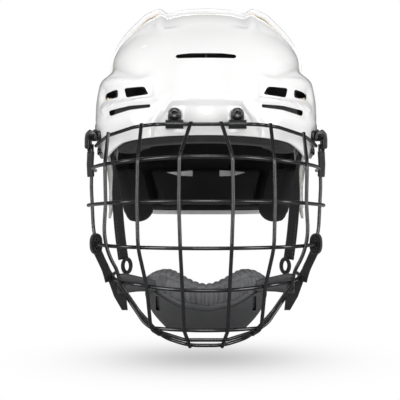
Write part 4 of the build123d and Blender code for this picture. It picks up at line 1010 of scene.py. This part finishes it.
# ---- Cage clips and hooks
# Saddles and hooks moulded in tough black nylon, screwed to the shell. The top bar turns in the saddles,
# and the hooks catch the cage's upper ends when it is down.
clip_nylon = moulded_material(
    "clip_black_nylon", (0.009, 0.0095, 0.01), (0.019, 0.02, 0.022), 1900.0, 0.14, (0.22, 0.36)
)
for name in ("cage_clip_left", "cage_clip_right"):
    dress_node(name, clip_nylon)
side_signs = {"left": 1, "right": -1}
hook_line = [
    (98.9, 27.8), (98.9, 30.9), (100.6, 34.0), (103.5, 35.7), (106.6, 35.1), (108.6, 32.7), (109.2, 28.2),
    (109.2, 20.9), (108.5, 19.8), (107.7, 20.9), (107.4, 26.8), (106.2, 31.2), (103.7, 32.8), (101.2, 31.4),
    (100.2, 27.8),
]
hook_foot = [(-41, 27.5), (-41, 35.5), (-26, 35.5), (-22, 37.5), (-12, 37.5), (-12, 29), (-16, 27.5)]
hook_hole = [(-20.1, 30.9), (-15.9, 30.9), (-15.9, 35.1), (-20.1, 35.1)]
hook_y = -35.0
hook_growth = 1.5
plate_merge = 1e-6


def flat_plate(name, outlines, half, edge):
    """A flat plate with rounded edges, filled between outlines of u and v, with its depth along its third axis."""
    lines = bpy.data.curves.new(name, "CURVE")
    lines.dimensions = "2D"
    lines.fill_mode = "BOTH"
    lines.extrude = half * mm
    lines.bevel_depth = edge * mm
    lines.bevel_resolution = 2
    for outline, radius in outlines:
        rim = round_corners(outline, radius, 9)
        line = lines.splines.new("POLY")
        line.points.add(len(rim) - 1)
        line.points.foreach_set("co", [value for u, v in rim for value in (u * mm, v * mm, 0.0, 1.0)])
        line.use_cyclic_u = True
    flat = place_piece(name, lines)
    bpy.context.view_layer.update()
    mesh = bpy.data.meshes.new_from_object(flat.evaluated_get(bpy.context.evaluated_depsgraph_get()))
    bpy.data.objects.remove(flat)
    mesh.materials.clear()
    return mesh


def set_upright(mesh, side, y):
    """A flat plate drawn in x and z, stood up across the head at a y."""
    for vertex in mesh.vertices:
        x, z, depth = vertex.co
        vertex.co = (side * x, y * mm + depth, z)


def bent_to_head(mesh, side, growth):
    """A flat plate drawn in y and z, laid on the side of the shell form at a growth."""
    for vertex in mesh.vertices:
        y, z, depth = (value / mm for value in vertex.co)
        _, half, front, back = spline_through(form_cuts[:, 0], form_cuts, np.array([z]))[0] + growth + depth
        reach = front + middle_line if y < middle_line else back - middle_line
        vertex.co = (side * half * math.sqrt(1 - ((y - middle_line) / reach) ** 2) * mm, y * mm, z * mm)


for side_name, side in side_signs.items():
    hook_arch = flat_plate(f"hook_arch_{side_name}", [(hook_line, 1.4)], 5.4, 0.6)
    set_upright(hook_arch, side, hook_y)
    hook_plate = flat_plate(f"hook_plate_{side_name}", [(hook_foot, 3.0), (hook_hole, 2.1)], 0.85, 0.4)
    bent_to_head(hook_plate, side, hook_growth)
    for hook_mesh in (hook_arch, hook_plate):
        smooth_with_creases(turned_out(hook_mesh, plate_merge), 40)
    hook = place_piece(f"j_hook_{side_name}_moulded", joined_mesh(f"j_hook_{side_name}", [hook_arch, hook_plate]))
    hook.data.materials.append(clip_nylon)
    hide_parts(f"j_hook_{side_name}")
    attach(hook, "front_body")

# ---- Ear guards
# Loops of milky clear plastic, hung inside the shell's edge over each ear by the ear screws.
# They are flat plates with rounded edges, bent to the side of the head.
guard_clear = toned_material(
    "ear_guard_clear",
    moulded_grain,
    {"Grain Size": 500.0, "Depth": 0.08, "Rough Low": 0.18, "Rough High": 0.32},
    (0.78, 0.77, 0.73),
    (0.88, 0.88, 0.86),
    {"Transmission Weight": 0.55, "IOR": 1.45},
)
guard_outline = [
    (-40, 24), (-10, 24), (2, 14), (30, 14), (37, -4), (28, -32), (8, -45), (-12, -42), (-28, -25), (-40, 0),
]
guard_window = [(-27, 8), (-4, 2), (24, 2), (26, -6), (18, -25), (3, -34), (-9, -32), (-20, -18)]
guard_half = 0.65
guard_edge = 0.35
guard_growth = -4.3

for side_name, side in side_signs.items():
    guard_mesh = flat_plate(
        f"ear_guard_{side_name}_plate", [(guard_outline, 14.0), (guard_window, 10.0)], guard_half, guard_edge
    )
    bent_to_head(guard_mesh, side, guard_growth)
    smooth_with_creases(turned_out(guard_mesh, plate_merge), 40)
    guard_mesh.materials.append(guard_clear)
    ear_loop = place_piece(f"ear_guard_{side_name}_moulded", guard_mesh)
    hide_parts(f"ear_guard_{side_name}")
    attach(ear_loop, "front_body")

# ---- Webbing
# Flat woven nylon straps: the chin straps and their sewn loops, the tabs outside the cage's side wires,
# the keepers wrapped round the fourth bar and the straps from them to the cup's brackets.
webbing_weave = surface_group(
    "webbing_weave",
    {"Thread": 1.0, "Depth": 0.5},
    ["Shade", "Normal"],
    {
        "map": ("ShaderNodeUVMap", {"uv_map": "webbing"}),
        "ribs": ("ShaderNodeTexWave", {"bands_direction": "X"}, {"Distortion": 0.6}),
        "picks": ("ShaderNodeTexWave", {"bands_direction": "Y"}, {"Distortion": 0.8}),
        "wide": ("ShaderNodeMath", {"operation": "MULTIPLY"}, {1: 0.26}),
        "narrow": ("ShaderNodeMath", {"operation": "MULTIPLY"}, {1: 0.42}),
        "cross": ("ShaderNodeMath", {"operation": "MULTIPLY"}),
        "bump": ("ShaderNodeBump", {}, {"Distance": 0.0005}),
    },
    [
        "in.Thread > wide.0", "wide.Value > ribs.Scale", "map.UV > ribs.Vector",
        "in.Thread > narrow.0", "narrow.Value > picks.Scale", "map.UV > picks.Vector",
        "ribs.Fac > cross.0", "picks.Fac > cross.1", "in.Depth > bump.Strength", "cross.Value > bump.Height",
        "cross.Value > out.Shade", "bump.Normal > out.Normal",
    ],
)
webbing_black = cloth_material(
    "webbing_black_nylon", webbing_weave, 1.0, 0.6, (0.008, 0.008, 0.009), (0.032, 0.033, 0.036), 0.62, 0.1
)
stitch_thread = cloth_material(
    "stitch_thread_grey", knit_cloth, 1500.0, 0.4, (0.05, 0.05, 0.055), (0.09, 0.09, 0.1), 0.7, 0.1
)


def mapped_mesh(name, points, faces, maps):
    """A mesh whose corners lie on the weave at the places in maps."""
    mesh = bpy.data.meshes.new(name)
    mesh.from_pydata(points, [], faces)
    mesh.uv_layers.new(name="webbing").data.foreach_set("uv", np.array(maps, np.float32).ravel())
    return mesh


def strap_directions(before, after, across):
    """The directions of a strap's width and of its face, where it runs from one point to another."""
    run = (after - before).normalized()
    wide = Vector(across)
    wide = (wide - run * wide.dot(run)).normalized()
    return wide, run.cross(wide)


def webbing_strip(name, route, across, width, thickness, closed=False):
    """A woven strap along a route. Across gives the direction of its width at each point of the route."""
    route = [Vector(p) for p in route]
    count = len(route)
    profile = []
    for share in np.linspace(-1, 1, 9):
        half_here = thickness / 2 * (1 - 0.55 * abs(share) ** 8) * (1 + 0.14 * math.cos(share * 9.4))
        profile.append((share * width / 2, half_here))
    profile += [(u, -v) for u, v in reversed(profile)]
    sides = len(profile)
    points, walk, walks = [], 0.0, []
    for index, point in enumerate(route):
        before = route[index - 1] if index or closed else point
        after = route[(index + 1) % count] if index < count - 1 or closed else point
        wide, face = strap_directions(before, after, across[index])
        if index:
            walk += (point - route[index - 1]).length
        walks.append(walk)
        points += [point + wide * u * mm + face * v * mm for u, v in profile]
    walks.append(walk + (route[0] - route[-1]).length)
    faces = ring_quads(count, sides, closed)
    maps = []
    for near, far in zip(walks[: len(faces) // sides], walks[1:]):
        for (u, _), (next_u, _) in zip(profile, profile[1:] + profile[:1]):
            maps += [(u, near / mm), (next_u, near / mm), (next_u, far / mm), (u, far / mm)]
    if not closed:
        faces += end_caps(count, sides)
        maps += [(0.0, 0.0)] * (2 * sides)
    mesh = mapped_mesh(name, points, faces, maps)
    smooth_with_creases(turned_out(mesh), 50)
    return mesh


def smooth_route(points, count):
    """Even places on a smooth curve through points given in millimetres, in metres."""
    points = np.array(points, float)
    walk = np.concatenate([[0], np.cumsum(np.linalg.norm(np.diff(points, axis=0), axis=1))])
    return spline_through(walk, points, np.linspace(0, walk[-1], count)) * mm


def oval(middle, out, half_out, half_up, count, squareness=1.0):
    """Points round an upright oval, as wide along out and as tall as its halves in millimetres say."""
    points = []
    for turn in np.linspace(0, 2 * np.pi, count + 1)[:-1]:
        away, up = (math.copysign(abs(wave) ** squareness, wave) for wave in (math.cos(turn), math.sin(turn)))
        points.append(middle + out * away * half_out * mm + Vector((0, 0, up * half_up * mm)))
    return points


def stitch_mesh(name, length, radius, sides=6):
    """One stitch of round thread along +Z, about its middle and narrower at both ends."""
    aside = Vector((0, 0, 1)).orthogonal().normalized()
    other = Vector((0, 0, 1)).cross(aside)
    points = []
    for share, thickness in ((-0.5, 0.55), (-0.36, 1.0), (0.36, 1.0), (0.5, 0.55)):
        for turn in (2 * math.pi * k / sides for k in range(sides)):
            out = (aside * math.cos(turn) + other * math.sin(turn)) * radius * thickness
            points.append(Vector((0, 0, length * share)) + out)
    mesh = closed_mesh(name, points, ring_quads(4, sides) + end_caps(4, sides))
    mesh.shade_smooth()
    return mesh


def sewn_row(name, route, length=0.0024, gap=0.0011, radius=0.00032):
    """Stitches along a route in metres, set on points through the fastener nodes, as one mesh."""
    route = np.array([tuple(point) for point in route])
    walks = np.concatenate([[0.0], np.cumsum(np.linalg.norm(np.diff(route, axis=0), axis=1))])

    def at(walk):
        return Vector([np.interp(walk, walks, route[:, axis]) for axis in range(3)])

    places = []
    begin = gap
    while begin + length < walks[-1]:
        first, last = at(begin), at(begin + length)
        places.append((tuple((first + last) / 2), tuple((last - first).normalized())))
        begin += length + gap
    row = fasteners(name, stitch_mesh(f"{name}_stitch", length, radius), stitch_thread, places)
    sewn = row.data
    bpy.data.objects.remove(row)
    return sewn


def sewn_piece(name, cloth_meshes, cloth, rows):
    """A webbing piece with its stitches: the cloth and the thread as one object of two materials."""
    halves = [joined_mesh(f"{name}_cloth", cloth_meshes), joined_mesh(f"{name}_thread", rows)]
    return place_piece(name, joined_mesh(name, halves, (cloth, stitch_thread)))


strap_points = [
    (85.8, -37, 21.5), (83.4, -37, 6), (81.6, -37.5, -12), (79.8, -37.5, -36), (77.6, -37.5, -60), (74.9, -37, -80.6),
]
strap_steps = 48
sewn_from = 30
tab_x = 107.3
tab_bend = 5.6
tab_crown = 1.2
tab_columns = 12
tab_rows = 14
stitch_stand = 0.9


def tab_point(y, share, stand=0.0):
    """A point of the tab's face in millimetres, by its y and its share from the low edge to the high one."""
    low = np.interp(y, [-42, -40, -22, 2], [-5.5, -6, -6, 26])
    high = np.interp(y, [-42, -26, -14, 2], [17, 17, 38, 38])
    x = tab_x - tab_bend * soft_step(-y, 29, 41) + tab_crown * (0.5 - abs(share - 0.5)) + stand
    return x, y, low + (high - low) * share


for side_name, side in side_signs.items():
    route = smooth_route([(side * x, y, z) for x, y, z in strap_points], strap_steps)
    shares = np.linspace(0, 1, strap_steps)
    across = [(-side * 0.66 * soft_step(share, 0.1, 0.55), 0.78, 0.0) for share in shares]
    strap = webbing_strip(f"chin_strap_{side_name}", route, across, 13.0, 1.6)
    loop_middle = Vector((side * 71.8, -37.0, -86.6)) * mm
    loop = oval(loop_middle, Vector((side, 0.0, 0.0)), 3.6, 6.2, 32)
    ring = webbing_strip(f"chin_loop_{side_name}", loop, [(0.0, 1.0, 0.0)] * len(loop), 11.5, 3.0, closed=True)
    rows = []
    for edge in (-4.9, 4.9):
        line = []
        for index in range(sewn_from, strap_steps - 1):
            point = Vector(route[index])
            wide, face = strap_directions(point, Vector(route[index + 1]), across[index])
            line.append(point + wide * edge * mm + face * (-1 if face.y > 0 else 1) * stitch_stand * mm)
        rows.append(sewn_row(f"chin_stitches_{side_name}_{len(rows)}", line))
    chin_webbing = sewn_piece(f"chin_strap_{side_name}_webbing", [strap, ring], webbing_black, rows)
    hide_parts(f"chin_strap_{side_name}")
    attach(chin_webbing, "front_body")

    points, faces, maps = [], [], []
    for y in np.linspace(-42, 2, tab_rows + 1):
        for share in np.linspace(0, 1, tab_columns + 1):
            x, _, z = tab_point(y, share)
            points.append((side * x * mm, y * mm, z * mm))
    for row in range(tab_rows):
        for k in range(tab_columns):
            start = row * (tab_columns + 1) + k
            corners = (start, start + 1, start + tab_columns + 2, start + tab_columns + 1)
            faces.append(corners)
            maps += [(points[c][1] / mm, points[c][2] / mm) for c in corners]
    tab_mesh = mapped_mesh(f"retaining_tab_{side_name}", points, faces, maps)
    tab = place_piece(f"retaining_strap_{side_name}_webbing", tab_mesh)
    thick = tab.modifiers.new("thickness", "SOLIDIFY")
    thick.thickness = 2.0 * mm
    thick.offset = 0.0
    rounding = tab.modifiers.new("worn_edge", "BEVEL")
    rounding.width = 0.5 * mm
    rounding.segments = 2
    rounding.limit_method = "ANGLE"
    rounding.angle_limit = math.radians(50)
    baked(tab)
    smooth_with_creases(tab.data, 50)
    rows = []
    for edge_share in (0.12, 0.88):
        line = [tab_point(y, edge_share, 1.1) for y in np.linspace(-39, -1, 24)]
        line = [(side * x * mm, y * mm, z * mm) for x, y, z in line]
        rows.append(sewn_row(f"tab_stitches_{side_name}_{len(rows)}", line))
    tab_cloth = tab.data
    bpy.data.objects.remove(tab)
    tab = sewn_piece(f"retaining_strap_{side_name}_webbing", [tab_cloth], webbing_black, rows)
    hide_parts(f"retaining_strap_{side_name}")
    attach(tab, "front_body")

    keeper_low, keeper_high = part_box(f"side_keeper_{side_name}")
    keeper_middle = (keeper_low + keeper_high) / 2
    bar_run = Vector((side * 0.18, 0.98, 0.0)).normalized()
    keeper_out = Vector((side * 0.98, -0.18, 0.0))
    wraps = []
    for layer_number, (half_out, half_up) in enumerate(((4.4, 8.4), (2.6, 6.6))):
        wrap = oval(keeper_middle, keeper_out, half_out, half_up, 40, 0.8)
        width = 13.0 - 0.8 * layer_number
        across = [bar_run] * len(wrap)
        wraps.append(webbing_strip(f"keeper_{side_name}_{layer_number}", wrap, across, width, 1.7, closed=True))
    for up in (-1, 1):
        roll = oval(keeper_middle + Vector((0, 0, up * 3.9 * mm)), keeper_out, 1.2, 1.7, 16)
        across = [bar_run] * len(roll)
        wraps.append(webbing_strip(f"keeper_{side_name}_roll_{up}", roll, across, 12.0, 2.2, closed=True))
    keeper = place_piece(f"side_keeper_{side_name}_webbing", joined_mesh(f"side_keeper_{side_name}", wraps))
    keeper.data.materials.append(webbing_black)
    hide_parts(f"side_keeper_{side_name}")
    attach(keeper, "cage_body")

    low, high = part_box(f"cup_strap_{side_name}")
    strap_y = (low.y + high.y) / 2 / mm
    hang = [(95.2, strap_y, -72.8), (91.2, strap_y, -81.0), (88.0, strap_y, -88.0), (84.9, strap_y, -98.6)]
    route = smooth_route([(side * x, y, z) for x, y, z in hang], 20)
    across = [(-side * 0.5, 0.86, 0.0)] * 20
    hanger_mesh = webbing_strip(f"cup_hang_{side_name}", route, across, 12.5, 1.7)
    hanger = place_piece(f"cup_strap_{side_name}_webbing", hanger_mesh)
    hanger.data.materials.append(webbing_black)
    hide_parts(f"cup_strap_{side_name}")
    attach(hanger, "cage_body")

# ---- Chin cup
# A padded liner of gathered leatherette over foam, set in a moulded crescent shell that is strapped to
# the cage. The wings are folded and stitched leatherette, snapped to a plastic bracket at each side.
cup_half_width = 54.5
cup_reach = 36.0
cup_middle_y = -60.0
cup_top = -82.0
cup_depth = 58.0
cup_levels = [0.0, 0.26, 0.52, 0.76, 1.0]
cup_widths = [0.95, 1.0, 0.99, 0.88, 0.66]
cup_reaches = [0.92, 1.0, 1.0, 0.88, 0.64]
pad_top_places = [0, 11, 24, 32, 39, 46, 51, 55]
pad_top_heights = [-100.4, -98.2, -92.6, -89.2, -87.8, -89.4, -94.0, -103.0]
crescent_places = [0, 25, 40, 56]
crescent_heights = [-123.8, -119.5, -111.0, -100.5]


def cup_points(turn, height, growth):
    """Points of the cup's form, by the angle round it and the height in millimetres."""
    share = np.clip((cup_top - height) / (cup_depth + growth), 0, 1)
    half = spline_through(np.array(cup_levels), np.array(cup_widths)[:, None], share)[..., 0] * cup_half_width + growth
    reach = spline_through(np.array(cup_levels), np.array(cup_reaches)[:, None], share)[..., 0] * cup_reach + growth
    return np.stack([half * np.sin(turn), cup_middle_y - reach * np.cos(turn), height + 0 * turn], -1)


def thick_sheet(name, front, back):
    """A closed sheet between two grids of points in millimetres, with its grid places kept as attributes."""
    rows, columns = front.shape[:2]
    points = np.concatenate([front.reshape(-1, 3), back.reshape(-1, 3)]) * mm
    far = rows * columns
    faces = []
    for row in range(rows - 1):
        for column in range(columns - 1):
            a = row * columns + column
            faces.append((a, a + 1, a + columns + 1, a + columns))
            faces.append((far + a, far + a + columns, far + a + columns + 1, far + a + 1))
    edge = list(range(columns))
    edge += [row * columns + columns - 1 for row in range(1, rows)]
    edge += [(rows - 1) * columns + column for column in range(columns - 2, -1, -1)]
    edge += [row * columns for row in range(rows - 2, 0, -1)]
    for a, b in zip(edge, edge[1:] + edge[:1]):
        faces.append((b, a, far + a, far + b))
    mesh = closed_mesh(name, points.tolist(), faces)
    down, across = np.meshgrid(np.linspace(0, 1, rows), np.linspace(-1, 1, columns), indexing="ij")
    for label, front_values, back_values in (
        ("across", across, across),
        ("down", down, down),
        ("outside", np.ones_like(down), np.zeros_like(down)),
    ):
        layer = mesh.attributes.new(label, "FLOAT", "POINT")
        values = np.concatenate([front_values.ravel(), back_values.ravel()])
        layer.data.foreach_set("value", values.astype(np.float32))
    return mesh


def point_values(mesh, label):
    """The values of a mesh attribute at its points."""
    values = np.zeros(len(mesh.vertices), np.float32)
    mesh.attributes[label].data.foreach_get("value", values)
    return values


def refined(piece, levels):
    """The piece with its faces divided and rounded."""
    divide = piece.modifiers.new("divide", "SUBSURF")
    divide.levels = levels
    divide.render_levels = levels
    return baked(piece)


pad_bottom = -136.8
inner_bottom = -127.6
gather_pitch = 6.1
pleat_pitch = 3.6
walk_half = 76
turns = np.radians(np.linspace(-87.5, 87.5, 65))[None, :]
downs = np.linspace(0, 1, 19)[:, None]
across_mm = np.abs(52 * np.sin(turns))
top_line = np.interp(across_mm, pad_top_places, pad_top_heights)
for _ in range(3):
    top_line[0, 1:-1] = (top_line[0, :-2] + 2 * top_line[0, 1:-1] + top_line[0, 2:]) / 4
heights = top_line + (pad_bottom - top_line) * downs
edge_height = np.interp(across_mm, crescent_places, crescent_heights)
free = np.clip((top_line - heights) / np.maximum(top_line - edge_height, 4), 0, 1)
bulge = np.sin(np.pi * np.clip(free / 0.86, 0, 1)) ** 0.7
outer = cup_points(turns, heights, -2.9)
outer_far = cup_points(turns, heights, 1.6)
outer = outer + (outer_far - outer) * bulge[..., None]
inner = cup_points(turns, np.maximum(heights, inner_bottom), -11.8)
inner_far = cup_points(turns, np.maximum(heights, inner_bottom), -14.4)
inner = inner + (inner_far - inner) * bulge[..., None]
chin_foam = place_piece("chin_cup_pad_foam", thick_sheet("chin_cup_pad_foam", outer, inner))
puffed(chin_foam, 4.0, 0.0012)
refined(chin_foam, 2)
mesh = chin_foam.data
places = vertex_rows(mesh, "co") / mm
walk = point_values(mesh, "across") * walk_half
outside = point_values(mesh, "outside")
across_now = np.abs(places[:, 0])
top_now = np.interp(across_now, pad_top_places, pad_top_heights)
edge_now = np.interp(across_now, crescent_places, crescent_heights)
below = point_values(mesh, "down") * (top_now - pad_bottom)
above = places[:, 2] - edge_now
gather = np.abs(np.sin(np.pi * walk / gather_pitch)) ** 0.8
relief = (1.3 + 1.1 * soft_step(across_now, 18, 32)) * (gather - 0.55) * np.exp(-((below / 3.2) ** 2))
relief += 0.42 * np.sin(2 * np.pi * walk / gather_pitch + 1.2) * np.exp(-(((below - 5.5) / 4.5) ** 2)) * outside
pleat_zone = soft_step(above, 3.0, 7.5) * (1 - soft_step(above, 15, 24))
lobe_zone = soft_step(across_now, 26, 30) * (1 - soft_step(across_now, 40, 46))
pleat_zone *= np.maximum(1 - soft_step(across_now, 16, 23), lobe_zone)
drift = 0.7 * np.sin(walk * 0.31) + 0.5 * np.sin(walk * 0.73 + 1.0)
relief += 0.85 * np.sin(2 * np.pi * (walk + drift) / pleat_pitch) * pleat_zone * outside
relief -= 0.9 * np.exp(-(((below - 4.6) / 0.7) ** 2)) * outside
relief -= 1.1 * np.exp(-(((above - 4.4) / 0.8) ** 2)) * outside * soft_step(-places[:, 1], 61, 66)
move_vertices(mesh, vertex_rows(mesh, "co") + vertex_rows(mesh, "normal") * relief[:, None] * mm)
chin_foam.data.shade_smooth()

# Fine wrinkled grain of soft leatherette
leather_grain = surface_group(
    "leatherette_grain",
    {"Grain Size": 900.0, "Depth": 0.4},
    ["Shade", "Normal"],
    {
        "place": ("ShaderNodeTexCoord",),
        "cells": ("ShaderNodeTexVoronoi", {"feature": "DISTANCE_TO_EDGE"}),
        "wear": ("ShaderNodeTexNoise", {}, {"Scale": 90.0, "Detail": 6.0}),
        "sum": ("ShaderNodeMath", {"operation": "ADD"}),
        "bump": ("ShaderNodeBump", {}, {"Distance": 0.0007}),
    },
    [
        "place.Object > cells.Vector", "in.Grain Size > cells.Scale", "place.Object > wear.Vector",
        "cells.Distance > sum.0", "wear.Fac > sum.1", "in.Depth > bump.Strength", "sum.Value > bump.Height",
        "wear.Fac > out.Shade", "bump.Normal > out.Normal",
    ],
)
leatherette = cloth_material(
    "leatherette_black", leather_grain, 900.0, 0.35, (0.085, 0.086, 0.09), (0.19, 0.192, 0.198), 0.36, 0.0
)
leatherette_folded = cloth_material(
    "leatherette_folded", leather_grain, 1100.0, 0.3, (0.038, 0.039, 0.041), (0.072, 0.073, 0.077), 0.42, 0.0
)
chin_foam.data.materials.append(leatherette)
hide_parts("chin_cup_pad")
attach(chin_foam, "cage_body")

cup_plastic = moulded_material(
    "cup_black_satin", (0.05, 0.051, 0.053), (0.078, 0.079, 0.082), 1500.0, 0.2, (0.3, 0.46)
)
dress_node("chin_cup_shell", cup_plastic)
wing_root = 43.5
wing_reach = 34.5


def wing_place(span, share):
    """The x and z of a wing by its shares outwards and down, and the y that it lies at, in millimetres."""
    top = np.interp(span, [0, 0.22, 0.8, 1], [-97.0, -95.8, -91.2, -91.8])
    low = np.interp(span, [0, 0.5, 1], [-107.0, -107.6, -109.8])
    x = wing_root + wing_reach * span + 0 * share
    return x, np.interp(x, [43.5, 48, 52, 78], [-83.0, -80.5, -77.0, -75.6]), top + (low - top) * share


def seam_share(span):
    """How far down the wing its stitched seam runs."""
    return 0.65 - 0.21 * span


for side_name, side in side_signs.items():
    dress_node(f"cup_bracket_{side_name}", clip_nylon)
    spans = np.linspace(0, 1, 25)[None, :]
    lows = np.linspace(0, 1, 13)[:, None]
    x, y, z = wing_place(spans, lows)
    folded = seam_share(spans)
    fold = 0.9 * np.sin(np.pi * np.clip(lows / folded, 0, 1))
    fold = fold + 0.7 * np.sin(np.pi * np.clip((lows - folded) / (1 - folded), 0, 1))
    front = np.stack([side * x, y - 0.5 - fold, z], -1)
    back = np.stack([side * x, y + 1.7, z], -1)
    wing = place_piece(f"cup_wing_{side_name}_folded", thick_sheet(f"cup_wing_{side_name}_folded", front, back))
    refined(wing, 1)
    wing.data.shade_smooth()
    seam = []
    for span in np.linspace(0.12, 0.96, 20):
        x, y, z = wing_place(span, seam_share(span))
        seam.append((side * x * mm, (y - 0.75) * mm, z * mm))
    welt_rows = [sewn_row(f"wing_stitches_{side_name}", seam, 0.0022, 0.0012, 0.00034)]
    wing_cloth = wing.data
    bpy.data.objects.remove(wing)
    wing = sewn_piece(f"cup_wing_{side_name}_folded", [wing_cloth], leatherette_folded, welt_rows)
    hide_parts(f"cup_wing_{side_name}")
    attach(wing, "cage_body")
